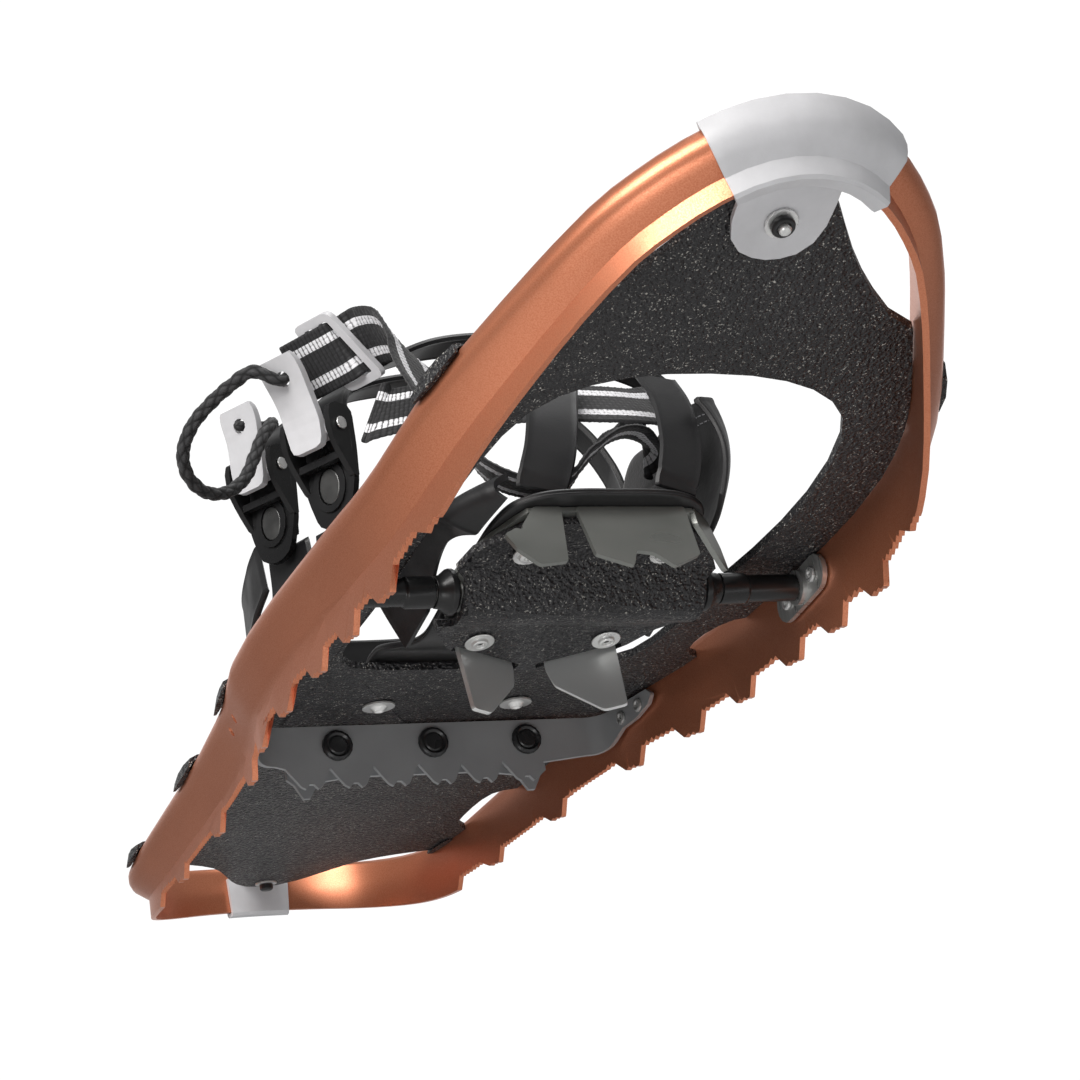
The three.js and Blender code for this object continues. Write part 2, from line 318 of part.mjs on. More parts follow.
// ---------------------------------------------------------------- nose clip
function clipRings(half, path, n = 12) { // path(F,u) gives the section in (n,z), swept between -half and +half arc length
  const R = [], s0 = half; for (let i = 0; i <= n; i++) { const q = -s0 + 2 * s0 * i / n; R.push(q); } return R.map(path);
}
{
  const half = 27.5, rings = clipRings(half, (q) => {
    const F = frameAt(Math.abs(q)), u = upper(F.P.y), H = u.H, B = BULGE - 1.2, g = GAP, t = 2.0 + g, c = u.c;
    const inn = [[0.6, H + 0.1 + g], [4.2, H + g + 0.1], [B - 3.4, H - 0.5 + g], [B - 1.1 + g * 0.7, H - 2.3 + g * 0.7], [B + g, H - 5.4], [B + g, H - 8.2], [B - 1.0 + g, H - 11.2], [BLADE_T + (B - BLADE_T) * 0.55 + g, c + (H - 11 - c) * 0.52], [BLADE_T + g, c * 0.8], [BLADE_T + g, -g], [-g, -g], [-g, 9.5]];
    const out = [[-t, 9.5], [-t, -0.9], [-1.2, -t], [BLADE_T + 1.2, -t], [BLADE_T + t, -1.2], [BLADE_T + t + 0.2, c * 0.75], [BLADE_T + (B - BLADE_T) * 0.55 + t, c + (H - 11 - c) * 0.38], [B - 0.6 + t, H - 11.6], [B + t, H - 8.2], [B + t, H - 5], [B - 0.8 + t * 0.8, H - 1.4 + t * 0.6], [B - 3, H - 0.3 + t], [4.2, H + t], [0.6, H - 0.3 + t]];
    return [...inn, ...out].map(([a, b]) => { const p = put(F, a, b); return [q < 0 ? -p[0] : p[0], p[1], p[2]]; });
  }, 8);
  const body = loft(rings);
  const yF = (x) => { let s = 0; while (s < 60 && at(s).x < Math.abs(x)) s += 0.5; return at(s).y - 1.3; };
  const out = []; for (const x of [-17, -13, -8, 0, 8, 13, 17]) out.push([x, yF(x)]);
  const tong = [...out, [17.5, 313], [17.2, 305], [15, 298.5], [10.5, 294], [5, 292], [0, 291.4], [-5, 292], [-10.5, 294], [-15, 298.5], [-17.2, 305], [-17.5, 313]];
  let tg = plate(tong.slice().reverse(), 2.1); tg = bend(splitY(tg, 6), (x, y, z) => [x, y, z + deckZ(y) - GAP - 2.1]);
  const g = union(body, tg), hole = rod(2.6, noseAt.p.clone().addScaledVector(noseAt.d, -8), noseAt.p.clone().addScaledVector(noseAt.d, 5), 20);
  add('nose_clip', cut(g, hole), 'plastic_grey');
  const base = noseAt.p.clone().addScaledVector(noseAt.d, -GAP - 2.1 - 0.12), dn = noseAt.d.clone().negate();
  add('nose_washer', ring(2.6, 5.8, base, dn, 1.1, 32), 'bright');
  add('nose_nut', turned([[2.45, 0], [4.2, 0], [4.2, 1.6], [3.7, 2.4], [2.45, 2.4], [2.45, 0]], base.clone().addScaledVector(dn, 1.25), dn, 24), 'black');
  const top = noseAt.p.clone().addScaledVector(noseAt.d, DECK_T + 0.5), tip = base.clone().addScaledVector(dn, 5.2), L = top.distanceTo(tip);
  add('nose_screw', turned([[0, 0], [1.6, 0], [2.25, 0.7], [2.25, L], [4.4, L], [4.4, L + 1.6], [3, L + 2.4], [0, L + 2.4]], tip, noseAt.d, 24), 'bright');
}
// ---------------------------------------------------------------- tail clip
{
  const zF = deckZ(-335) + DECK_T + GAP;
  const rings = clipRings(15.5, (q) => {
    const s = STOT - Math.abs(q), F = frameAt(s), u = upper(F.P.y), c = u.c, g = GAP, t = 1.9 + g, top = zF + 2.6 - F.P.z;
    const p = [[BLADE_T + g, c - 1.2], [BLADE_T + g, -g], [-g, -g], [-g, top], [-t, top], [-t, -0.8], [-1.1, -t], [BLADE_T + 1.1, -t], [BLADE_T + t, -0.8], [BLADE_T + t, c - 1.2]];
    return p.map(([a, b]) => { const r = put(F, a, b); return [q > 0 ? r[0] : -r[0], r[1], r[2]]; });
  }, 8);
  let tg = plate([[11, -343.4], [11, -322], [8, -318], [4, -316.5], [-4, -316.5], [-8, -318], [-11, -322], [-11, -343.4]].reverse(), 2.0);
  tg = bend(splitY(tg, 6), (x, y, z) => [x, y, z + deckZ(Math.min(y, -300)) + DECK_T + GAP]);
  const hole = rod(2.6, tailAt.p.clone().addScaledVector(tailAt.d, -3), tailAt.p.clone().addScaledVector(tailAt.d, 12), 20);
  add('tail_clip', cut(union(loft(rings), tg), hole), 'plastic_grey');
  const dn = tailAt.d.clone().negate(), b = tailAt.p.clone().addScaledVector(dn, 0.12);
  add('tail_washer', ring(2.6, 5.6, b, dn, 0.9, 28), 'bright');
  const L = DECK_T + GAP + 2.0 + 1.2 + 3.4;
  const hb = b.clone().addScaledVector(dn, 0.9 + 0.12);
  add('tail_screw', turned([[0, -3.2], [2.4, -3.2], [3.5, -2.4], [3.5, 0], [2.25, 0], [2.25, L], [1.7, L + 0.6], [0, L + 0.6]], hb, tailAt.d, 24), 'black');
}

// ---------------------------------------------------------------- pivot axle, sleeves and brackets
const bracketRivets = [];
for (const [side, sg] of [['right', 1], ['left', -1]]) {
  const ends = [[118.2, 25.2], [95.8, 22.2]]; // rivet centres in y, z
  const dir = Math.atan2(ends[0][1] - ends[1][1], ends[0][0] - ends[1][0]); const pts = [];
  for (let k = 0; k <= 7; k++) { const a = dir - Math.PI / 2 + Math.PI * k / 7; pts.push([ends[0][0] + 2 * Math.cos(dir) + 7.4 * Math.cos(a), ends[0][1] + 7.4 * Math.sin(a)]); }
  for (let k = 0; k <= 7; k++) { const a = dir + Math.PI / 2 + Math.PI * k / 7; pts.push([ends[1][0] - 2 * Math.cos(dir) + 7.4 * Math.cos(a), ends[1][1] + 7.4 * Math.sin(a)]); }
  const holes = [circle(AXLE_Y, AXLE_Z, 4.35, 20), circle(ends[0][0], ends[0][1], 2.15, 12), circle(ends[1][0], ends[1][1], 2.15, 12)];
  let g = plate(pts, 2.0, holes); // in (y,z) with thickness -> x
  g = bend(g, (a, b, c) => [94.2 + c, a, b]); g = outward(g);
  const lip = ring(4.35, 7.0, V(92.2, AXLE_Y, AXLE_Z), V(1, 0, 0), 2.4, 28);
  g = union(g, lip);
  if (sg < 0) g = mirrorX(g);
  add('pivot_bracket_' + side, g, 'steel_dark');
  ends.forEach(([y, z], i) => {
    const a = V(sg * 93.9, y, z), d = V(sg, 0, 0); // head inboard, shank into the rail
    let r = turned([[0, 0.6], [1.0, 0.6], [1.3, -0.9], [2.2, -1.3], [3.1, -0.9], [3.2, 0.12], [1.9, 0.12], [1.9, 6.2], [0, 6.2]].map(([r, h]) => [r, h]), a, d, 16);
    add('bracket_rivet_' + side + (i ? '_rear' : '_front'), r, 'bright');
    bracketRivets.push(rod(2.2, V(sg * 96.2, y, z), V(sg * 101, y, z), 16));
  });
  add('axle_sleeve_' + side, turned([[4.3, 0], [6.1, 0], [6.1, 10.8], [5.3, 11.6], [5.3, 32.9], [4.3, 32.9], [4.3, 0]], V(sg * 58.8, AXLE_Y, AXLE_Z), V(sg, 0, 0), 28), 'black');
}
add('pivot_axle', turned([[0, 0], [3.4, 0], [AXLE_R, 0.6], [AXLE_R, 191.4], [3.4, 192], [0, 192]], V(-96, AXLE_Y, AXLE_Z), V(1, 0, 0), 28), 'bright');

// ---------------------------------------------------------------- heel crossbar
const sideRivets = [];
{
  const top = 28.6, T = 2.0, y0 = CROSSBAR_Y, r = 11, xe = 71.5, TA = 1.40;
  // toothed front web drawn in (x,z)
  const teeth = [56.5, 37, 17.5, -3, -22, -41.5], web = [];
  web.push([xe, top], [xe, 11.5]);
  for (const c of teeth) web.push([c + 10.6, 10.2], [c + 4.6, 2.4], [c + 2.6, 1.2], [c + 0.9, 3.2], [c - 1.2, 3.2], [c - 3, 1.2], [c - 5, 2.4], [c - 8.6, 9.2]);
  web.push([-xe, 11.5], [-xe, top]);
  const capX = [43.3, 0, -43.3], capZ = 19.6;
  let front = plate(web, T, capX.map((x) => circle(x, capZ, 3.2, 12)).map((c) => c.reverse()));
  front = outward(bend(front, (a, b, c) => [a, y0 - c, b]));
  // bends and side tabs: swept strip from the web round to the rail wall
  const strip = (sg) => {
    const path = []; for (let k = 0; k <= 6; k++) { const a = k / 6 * TA; path.push([xe - 0.5 + r * Math.sin(a), y0 - T / 2 + r * (1 - Math.cos(a)), a]); }
    const last = path[path.length - 1];
    for (const d of [8, 20, 30, 33]) path.push([last[0] + Math.cos(TA) * d, last[1] + Math.sin(TA) * d, TA]);
    const rings = path.map(([x, y, a], i) => { const nx = -Math.sin(a), ny = Math.cos(a); const u = i / (path.length - 1); const zb = [11.5, 11.5, 11.6, 12, 12.6, 13.4, 14.4, 18, 23 - 4, 23 - 1, 25][i] ?? 22, zt = i === path.length - 1 ? top - 2.5 : top; return [[x + nx * T / 2, y + ny * T / 2, zb], [x - nx * T / 2, y - ny * T / 2, zb], [x - nx * T / 2, y - ny * T / 2, zt], [x + nx * T / 2, y + ny * T / 2, zt]]; });
    let g = loft(rings); return sg < 0 ? mirrorX(g) : g;
  };
  // top flange and rear leg
  const flange = bend(plate(rounded([[66, y0 - 0.4], [-66, y0 - 0.4], [-62, y0 - 24], [62, y0 - 24]], 3), 2), (x, y, z) => [x, y, top - 5.0 + z]);
  const rear = []; rear.push([60, top - 3.4], [60, 12]); for (const c of [50, -50]) rear.push([c + 8, 9.4], [c + 2.2, 3.2], [c - 2.2, 3.2], [c - 8, 9.4]); rear.push([-60, 12], [-60, top - 3.4]);
  const rr = []; rr.push([60, top - 3.4], [60, 12], [57, 9.6], [53.5, 3.4], [50.5, 3.4], [46, 10.5], [30, 12.5], [-30, 12.5], [-46, 10.5], [-50.5, 3.4], [-53.5, 3.4], [-57, 9.6], [-60, 12], [-60, top - 3.4]);
  const leg = outward(bend(plate(rr, T), (a, b, c) => [a, y0 - 22 - c, b]));
  let g = union(front, outward(flange), leg, strip(1), strip(-1));
  const tabD = V(Math.cos(TA), Math.sin(TA), 0), tabN = V(Math.sin(TA), -Math.cos(TA), 0);
  const sideHoles = [];
  const base = V(xe - 0.5 + r * Math.sin(TA), y0 - T / 2 + r * (1 - Math.cos(TA)), 22.6);
  const pins = [base.clone().addScaledVector(tabD, 9), base.clone().addScaledVector(tabD, 23).add(V(0, 0, 1.2))];
  for (const sg of [1, -1]) pins.forEach((p, i) => {
    const q = V(p.x * sg, p.y, p.z), n = V(tabN.x * sg, tabN.y, 0);
    sideHoles.push(rod(2.0, q.clone().addScaledVector(n, -4), q.clone().addScaledVector(n, 4), 16));
    add('crossbar_side_rivet_' + (sg > 0 ? 'right' : 'left') + (i ? '_front' : '_rear'), turned([[0, 0.5], [0.9, 0.5], [1.2, -0.8], [2.1, -1.2], [3.0, -0.8], [3.1, 0], [1.7, 0], [1.7, 5.4], [0, 5.4]], q.clone().addScaledVector(n, -T / 2 - 0.12), n, 18), 'steel_dark');
    sideRivets.push(rod(2.0, q.clone().addScaledVector(n, T / 2 + 0.05), q.clone().addScaledVector(n, 12), 14));
  });
  add('heel_crossbar', cut(g, ...sideHoles), 'bar');
  ['right', 'centre', 'left'].forEach((nm, i) => add('crossbar_cap_' + nm, turned([[0, 2.4], [3.6, 2.3], [4.3, 1.7], [5.4, 2.6], [6.6, 1.9], [6.8, 0.12], [2.95, 0.12], [2.95, -3.4], [0, -3.4]], V(capX[i], y0, capZ), V(0, 1, 0), 22), 'black'));
  for (const [nm, h] of [['right', heelL], ['left', heelR]]) {
    const dn = V(0, 0, -1); // rivet with its flange washer under the deck
    const top = h.p.clone().add(V(0, 0, -0.6)); const L = DECK_T + 1.0;
    add('deck_rivet_' + nm, turned([[0, 1.4], [1.6, 1.6], [2.4, 2.6], [3.8, 1.0], [7.0, 0.9], [7.0, 0], [2.3, 0], [2.3, -L], [5.2, -L], [4.2, -L - 1.4], [0, -L - 1.5]], top, dn, 20), 'bright');
  }
}
railG = cut(railG, ...bracketRivets, ...sideRivets);
add('frame_rail', railG, 'frame');

// ---------------------------------------------------------------- pivoting binding: drawn level about the axle, then tilted toe-up
const hang = (g) => { const h = g.clone(); h.rotateX(TILT); h.translate(0, AXLE_Y, AXLE_Z); return outward(h); };
const PLATE_Z = 6.6, PLATE_T = 2.0;
{
  const half = [[0, -59], [7, -60], [34, -47], [41, -34], [47, -18], [48.6, 0], [47, 14], [42.5, 26], [36, 38], [33, 42.5], [0, 43.5]];
  const outl = [...half, ...half.slice(1, -1).reverse().map(([x, y]) => [-x, y])];
  const base = bend(plate(outl, PLATE_T), (x, y, z) => [x, y, z + PLATE_Z]);
  const wall = (poly, A, B, T) => { // polygon in (t,z) set up between plan points A and B
    const d = V(B[0] - A[0], B[1] - A[1], 0).normalize(), n = V(-d.y, d.x, 0);
    return outward(bend(plate(poly, T), (a, b, c) => [A[0] + d.x * a + n.x * c, A[1] + d.y * a + n.y * c, b]));
  };
  const zt = PLATE_Z + PLATE_T;
  const f1 = wall(rounded([[20, zt], [31, zt], [36.5, 1.2], [37.4, -1.4], [39.6, -0.6], [44.6, -3.2], [41, -9.6], [33.6, -16.4], [22.6, -15.1]], 1.0, 2), [0, 43.4], [10, 43.4], -2);
  const f2 = wall(rounded([[-29.6, zt], [14.2, zt], [11.0, -12.0], [-3.0, -17.2], [-5.4, -10.6], [-12.4, -11.8], [-19.4, -17.6], [-30.6, -12.6]], 1.0, 2), [0, 43.4], [10, 43.4], -2);
  const side = rounded([[0, zt], [0, 1.5], [10, -5], [19.4, -10.4], [22.4, -9.2], [20, 0], [13, zt]], 1.2, 2);
  const s2 = mirrorX(wall(side, [33.6, 42.6], [50.5, 26.5], -2));
  const rc = rounded([[1, zt], [0.6, 0.5], [2.6, -7.5], [16.5, -20.6], [19.2, -23.2], [28.6, -23.2], [30, zt]], 1.4, 2);
  const r1 = wall(rc, [7, -60], [34.2, -47], 2), r2 = mirrorX(r1);
  const ear = (sg) => outward(bend(plate(rounded([[-13, zt], [-12, 2], [-5.5, -6.2], [2.4, -6.2], [6.2, 0.5], [8.4, zt]], 2, 2), 2), (a, b, c) => [sg * (45.6 + c), a, b]));
  // stamped dimples at the roots of the rear claws
  const dimple = (sg) => turned([[0, 0], [4.2, 0], [3.2, 1.4], [0, 2.0]], V(sg * 19.8, -53.9, 1.8), V(sg * 0.43, -0.9, 0), 16);
  let g = union(base, f1, f2, s2, r1, r2, ear(1), ear(-1));
  const holes = [rod(AXLE_R + 0.35, V(-60, 0, 0), V(60, 0, 0), 28)];
  for (const [x, y] of [[26.6, -39.4], [-26.6, -39.4], [27.6, 22.5], [-27.6, 22.5]]) holes.push(rod(2.2, V(x, y, 0), V(x, y, 20), 12));
  add('toe_crampon', hang(cut(g, ...holes)), 'steel');

  // ribbed underside cover
  const prof = [[-64, 3.2], [-33, 3.0], [-25, 1.2], [-17, -4.0], [-10, -9.4], [-4, -11.0], [2, -11.2], [6.4, -10.2], [8.6, -7.0], [10.4, -1.5], [11.6, 2.6], [12.4, 3.1], [41, 3.2]];
  const chalf = [[0, -63], [14, -61.5], [27, -54.5], [38, -45], [46, -33], [50.5, -24], [53.4, -13.5], [49.2, -11], [49.2, 11], [52.6, 13.5], [48, 22], [37, 33], [31, 39.6], [0, 40.4]];
  const co = [...chalf, ...chalf.slice(1, -1).reverse().map(([x, y]) => [-x, y])];
  let cover = plate(co, 3.0); cover = bend(splitY(cover, (y) => Math.abs(y + 3) < 20 ? 6.6 : 16), (x, y, z) => [x, y, z + smoothTable(prof, y, 5)]);
  // slots that let the rear claws pass
  const claws = [r1, r2].map((c) => c); const slot = wall([[-2, 20], [-2, -6], [33, -6], [33, 20]], [6.4, -60.6], [34.6, -47.2], 3.2);
  const frontCut = [];
  const holes2 = []; for (const [x, y] of [[26.6, -39.4], [-26.6, -39.4], [27.6, 22.5], [-27.6, 22.5]]) holes2.push(rod(2.2, V(x, y, -12), V(x, y, 20), 12));
  add('crampon_cover', hang(cut(cover, slot, mirrorX(slot), ...holes2)), 'deck');
  // rivets with flange washers, clamping cover to crampon
  [[26.6, -39.4, 'rear_right'], [-26.6, -39.4, 'rear_left'], [27.6, 22.5, 'front_right'], [-27.6, 22.5, 'front_left']].forEach(([x, y, nm]) => {
    const zb = smoothTable(prof, y, 5) - (y > 0 ? 0.9 : 0), L = PLATE_Z + 0.9 - zb;
    add('cover_rivet_' + nm, hang(turned([[0, 1.4], [1.5, 1.4], [1.9, 2.7], [3.4, 2.5], [3.9, 1.1], [5.7, 1.5], [5.9, 0.85], [1.95, 0.85], [1.95, -L], [0, -L]], V(x, y, zb), V(0, 0, -1), 22)), 'bright');
  });
  for (const [nm, sg] of [['right', 1], ['left', -1]]) add('pivot_bush_' + nm, hang(turned([[AXLE_R + 0.35, 0], [7.2, 0], [COLLAR_R, 1.2], [COLLAR_R, 3.2], [6.4, 6.2], [6.1, 8.6], [AXLE_R + 0.35, 8.6], [AXLE_R + 0.35, 0]], V(sg * 49.6, 0, 0), V(sg, 0, 0), 28)), 'black');
}
// foot bed and foot pad: level with the crampon in front, flexed up at the back so that the heel lies on the deck
const FLEX = [[-140, 31.5], [-130, 29.4], [-100, 23.0], [-94, 21.6], [-88, 19.6], [-80, 15.4], [-70, 10.0], [-58, 4.0], [-50, 1.0], [-44, 0], [70, 0]];
const flex = (y) => lerpTable(FLEX, y);
const BED_Z = PLATE_Z + PLATE_T + GAP;
{
  const half = [[0, 50.5], [14, 50.5], [26, 49], [33, 46], [38.5, 41], [42, 30], [43.5, 10], [44.4, -20], [45, -50], [46, -66], [48, -80], [48, -95], [45, -112], [34, -124], [18, -128], [0, -129]];
  const o = smooth([...half, ...half.slice(1, -1).reverse().map(([x, y]) => [-x, y])], 34, true);
  const slotR = rounded([[-38, -62], [-31, -60], [-27, -84], [-35, -88]], 3, 3), slotL = slotR.map(([x, y]) => [-x, y]).reverse();
  add('foot_bed', hang(bend(splitY(plate(o, 3.2, [slotR, slotL]), (y) => y < -20 ? 13 : 44), (x, y, z) => [x, y, z + BED_Z + flex(y)])), 'tpu');
  const ph = half.filter(([, y]) => y > -40).map(([x, y]) => [x * 0.9, y > 0 ? y * 0.8 : y]).concat([[39.5, -33], [36, -41], [24, -43], [0, -43]]);
  const p = smooth([...ph, ...ph.slice(1, -1).reverse().map(([x, y]) => [-x, y])], 40, true);
  add('foot_pad', hang(bend(plate(p, 2.2), (x, y, z) => [x, y, z + BED_Z + 3.2 + GAP])), 'pad');
}
// side wings of the binding: curved shells standing on the edge of the foot bed
const wing = (sg, yf, yr, top, bulge, lift = 0) => shell((u, v) => {
  const y = yf + (yr - yf) * u, front = Math.max(0, 1 - u * 3.2);
  const x = (46.6 + 2.5 * u) + bulge * Math.sin(Math.min(1, v * 1.05) * 1.9) - front * front * (5 + 14 * v);
  const h = top(u); return [sg * x, y + v * (front * -3 + 2), BED_Z + 0.95 + v * h + (1 - v) * lift * Math.max(0, Math.sin((u - 0.2) / 0.55 * Math.PI))];
}, 11, 6, sg > 0 ? -2.3 : 2.3);
add('wing_medial', hang(wing(-1, 50, -50, (u) => 44 + 34 * Math.sin(Math.min(1, u * 1.5) * 1.4), 16.5)), 'tpu');
add('wing_lateral', hang(wing(1, 47, -54, (u) => 9 + 53 * Math.sin(Math.min(1, Math.max(0, u - 0.2) * 1.4) * 1.45), 12, 12)), 'tpu');

// padded lining on the inside of the medial wing
add('medial_pad', hang(shell((u, v) => {
  const y = 10 - 58 * u, x = -(41.4 + 14.0 * Math.sin(Math.min(1, (0.16 + v * 0.74) * 1.05) * 1.9)) + 2.2 * Math.cos((u - 0.5) * Math.PI), h = 62;
  return [x - 1.0, y, BED_Z + 8 + v * h * (0.66 + 0.34 * Math.sin(u * 2.6))];
}, 8, 5, -4.2)), 'pad');

// toe straps rising from the front rim of the foot bed (drawn in the tilted frame)
for (const [nm, path, w, sd] of [
  ['right', [[27.0, 45.2, 16.2], [26.2, 46.2, 17.4], [25, 47, 20], [20.7, 47.5, 30], [16.1, 46, 43.4], [11.3, 42, 58], [6.4, 37, 71.2]], 20, V(1, 0, 0)],
  ['left', [[-26.8, 45.2, 16.2], [-27.6, 46.2, 17.4], [-28.8, 47, 20], [-32.4, 47.5, 30], [-35.4, 46, 44.2], [-37.6, 42, 58.9], [-37.6, 36, 74]], 18.5, V(0.98, 0.2, 0)]])
  add('toe_strap_' + nm, hang(band(path, w, 1.9, () => sd, { n: 16 })), 'tpu');

// lateral lever buckles. o points outward, w is the pin direction, z is up
const O = V(0.87, 0.5, 0).normalize(), W = V(-0.5, 0.87, 0).normalize();
const EYES = [];
const BUCKLES = [['front', V(80, 62.6, 107)], ['rear', V(80, -14.4, 123)]];
const local = (g, c) => { // (w, z, o) drawing coordinates to the scene
  const h = clean(g), p = h.attributes.position; for (let i = 0; i < p.count; i++) { const q = c.clone().addScaledVector(W, p.getX(i)).addScaledVector(O, p.getZ(i)); q.z += p.getY(i); p.setXYZ(i, q.x, q.y, q.z); } return outward(h);
};
const oval = (cx, cy, a, b, n = 16) => Array.from({ length: n }, (_, i) => [cx + a * Math.cos(i / n * 2 * Math.PI), cy + b * Math.sin(i / n * 2 * Math.PI)]);
BUCKLES.forEach(([nm, C], k) => {
  const yoke = rounded([[-13, 9], [-13.4, -8], [-12.6, -22], [-8, -36], [0, -39], [8, -36], [12.6, -22], [13.4, -8], [13, 9]], 4, 2);
  let g = plate(yoke, 3.0, [oval(0, -21, 5.6, 7.8)]); g.translate(0, 0, -8.0);
  const rim = plate(oval(0, -21, 8.4, 10.6, 16), 2.0, [oval(0, -21, 5.6, 7.8)]); rim.translate(0, 0, -6.0);
  const cheek = (sg) => { // walls either side of the lever, in (z, o)
    const c = plate(rounded([[9, -7.6], [9, 3.4], [5, 6.2], [-5, 5.8], [-13, 1.2], [-21, -5.0], [-21, -7.6]], 2.4, 1), 2.6, [circle(0, 0, 2.15, 12)]);
    return outward(bend(c, (a, b, t) => [sg * (10.6 + t), a, b]));
  };
  const bridge = plate(rounded([[-12.4, -10.4], [-12.4, -13.4], [12.4, -13.4], [12.4, -10.4]], 1, 1), 3.2); bridge.translate(0, 0, -3.2);
  add('ratchet_base_' + nm, local(union(g, rim, cheek(1), cheek(-1), bridge), C), 'black');
  add('ratchet_pin_' + nm, turned([[0, 0], [2.7, 0], [2.7, 0.9], [1.85, 0.9], [1.85, 27.9], [2.7, 27.9], [2.7, 28.8], [0, 28.8]], C.clone().addScaledVector(W, -14.4), W, 18), 'bright');
  // lever: barrel round the pin and a curved thumb plate
  const line = k === 0 ? [[4.4, -8.2], [5.2, 0], [7.8, 9], [12.2, 18.5], [18.2, 28.5]] : [[4.4, -8.2], [4.9, 0], [5.4, 9], [6.0, 18.5], [8.6, 28.5]];
  const cl = smooth(line, 8), L = [], R = [];
  cl.forEach((p, i) => { const a = cl[Math.max(0, i - 1)], b = cl[Math.min(cl.length - 1, i + 1)], t = Math.hypot(b[0] - a[0], b[1] - a[1]), n = [(b[1] - a[1]) / t, -(b[0] - a[0]) / t], w = 1.55; L.push([p[0] + n[0] * w, p[1] + n[1] * w]); R.push([p[0] - n[0] * w, p[1] - n[1] * w]); });
  const arm = outward(bend(plate([...L, ...R.reverse()], 20), (a, b, t) => [t - 10, b, a]));
  // rounded outline of the thumb plate as seen from the front
  const face = plate(rounded([[-7.8, -8.3], [7.8, -8.3], [9.0, 2], [8.6, 12], [9.6, 22], [9.2, 27], [5.6, 30.6], [-5.6, 30.6], [-9.2, 27], [-9.6, 22], [-8.6, 12], [-9.0, 2]], 3.4, 2), 40); face.translate(0, 0, -5);
  const barrel = outward(bend(plate(circle(0, 0, 4.3, 16), 17.6), (a, b, t) => [t - 8.8, b, a]));
  const bore = outward(bend(plate(circle(0, 0, 2.2, 12), 30), (a, b, t) => [t - 15, b, a]));
  const tipP = cl[cl.length - 2], tipA = cl[cl.length - 3], tn = Math.hypot(tipP[0] - tipA[0], tipP[1] - tipA[1]);
  const hd = V(0, -(tipP[0] - tipA[0]) / tn, (tipP[1] - tipA[1]) / tn); // normal of the plate in (w,z,o)
  const eyeAt = C.clone().addScaledVector(O, tipA[0] + 0.5); eyeAt.z += tipA[1] + 1; const eyeDir = O.clone().multiplyScalar(hd.z); eyeDir.z += hd.y; EYES.push([eyeAt, eyeDir]);
  const eye = rod(3.15, V(0, tipA[1] + 1, tipA[0] + 0.5).addScaledVector(hd, -6), V(0, tipA[1] + 1, tipA[0] + 0.5).addScaledVector(hd, 6), 20);
  add('lever_' + nm, local(cut(union(both(arm, face), barrel), bore, eye), C), 'plastic_grey');
  const btn = plate(oval(0, -21, 5.2, 7.4), 2.9); btn.translate(0, 0, -7.2);
  add('release_button_' + nm, local(btn, C), 'steel_dark');
});
const C1 = BUCKLES[0][1], C2 = BUCKLES[1][1];
const bp = (C, w, o, z) => { const q = C.clone().addScaledVector(W, w).addScaledVector(O, o); return [q.x, q.y, q.z + z]; };
add('instep_strap', band([[-71.2, 84, 84], [-70.8, 82, 104], [-61.5, 78, 124], [-34, 72, 138], [-4, 66, 146], [28, 60, 146], [52, 55, 138], [63, 52, 131], bp(C1, 0, -10.4, 14), bp(C1, 0, -10, -8), bp(C1, 0, -10, -28)], 19, 2.2, (t) => V(0.2, 1, 0).lerp(W, Math.min(1, Math.max(0, (t - 0.42) / 0.3))), { n: 26 }), 'tpu');
add('ankle_strap', band([[-67, 22, 92], [-65, 16, 112], [-56, 8, 134], [-34, -2, 154], [-4, -10, 164], [28, -16, 163], [52, -20, 154], [63, -23, 147], bp(C2, 0, -10.4, 14), bp(C2, 0, -10, -8), bp(C2, 0, -10, -28)], 19, 2.2, (t) => V(0.2, 1, 0).lerp(W, Math.min(1, Math.max(0, (t - 0.42) / 0.3))), { n: 26 }), 'tpu');
add('instep_panel', band([bp(C1, -4, -11.8, -33.5), bp(C1, -4, -12.4, -43), [71, 57, 52], [68, 59, 44], [67, 59, 39]], (t) => 30 + 6 * t, 2.2, () => V(-0.35, 1, 0), { n: 14 }), 'tpu');
add('ankle_panel', band([bp(C2, 2, -11, -31.2), bp(C2, 2, -11.8, -46), [73, -6, 64], [71, 4, 56], [69.3, 9, 51.5]], (t) => 28 + 9 * t, 2.2, () => V(-0.35, 1, 0), { n: 16 }), 'tpu');
add('heel_strap', band([[75.2, -38, 91], [74.5, -58, 86], [66, -96, 80], [42, -128, 78], [0, -138, 78], [-42, -128, 78], [-64, -96, 80], [-70, -58, 84], [-70.5, -22, 88], [-69.5, 0, 84]], (t) => 24 + 6 * Math.sin(Math.PI * t), 2.4, () => V(0, 0, 1), { n: 26 }), 'tpu');
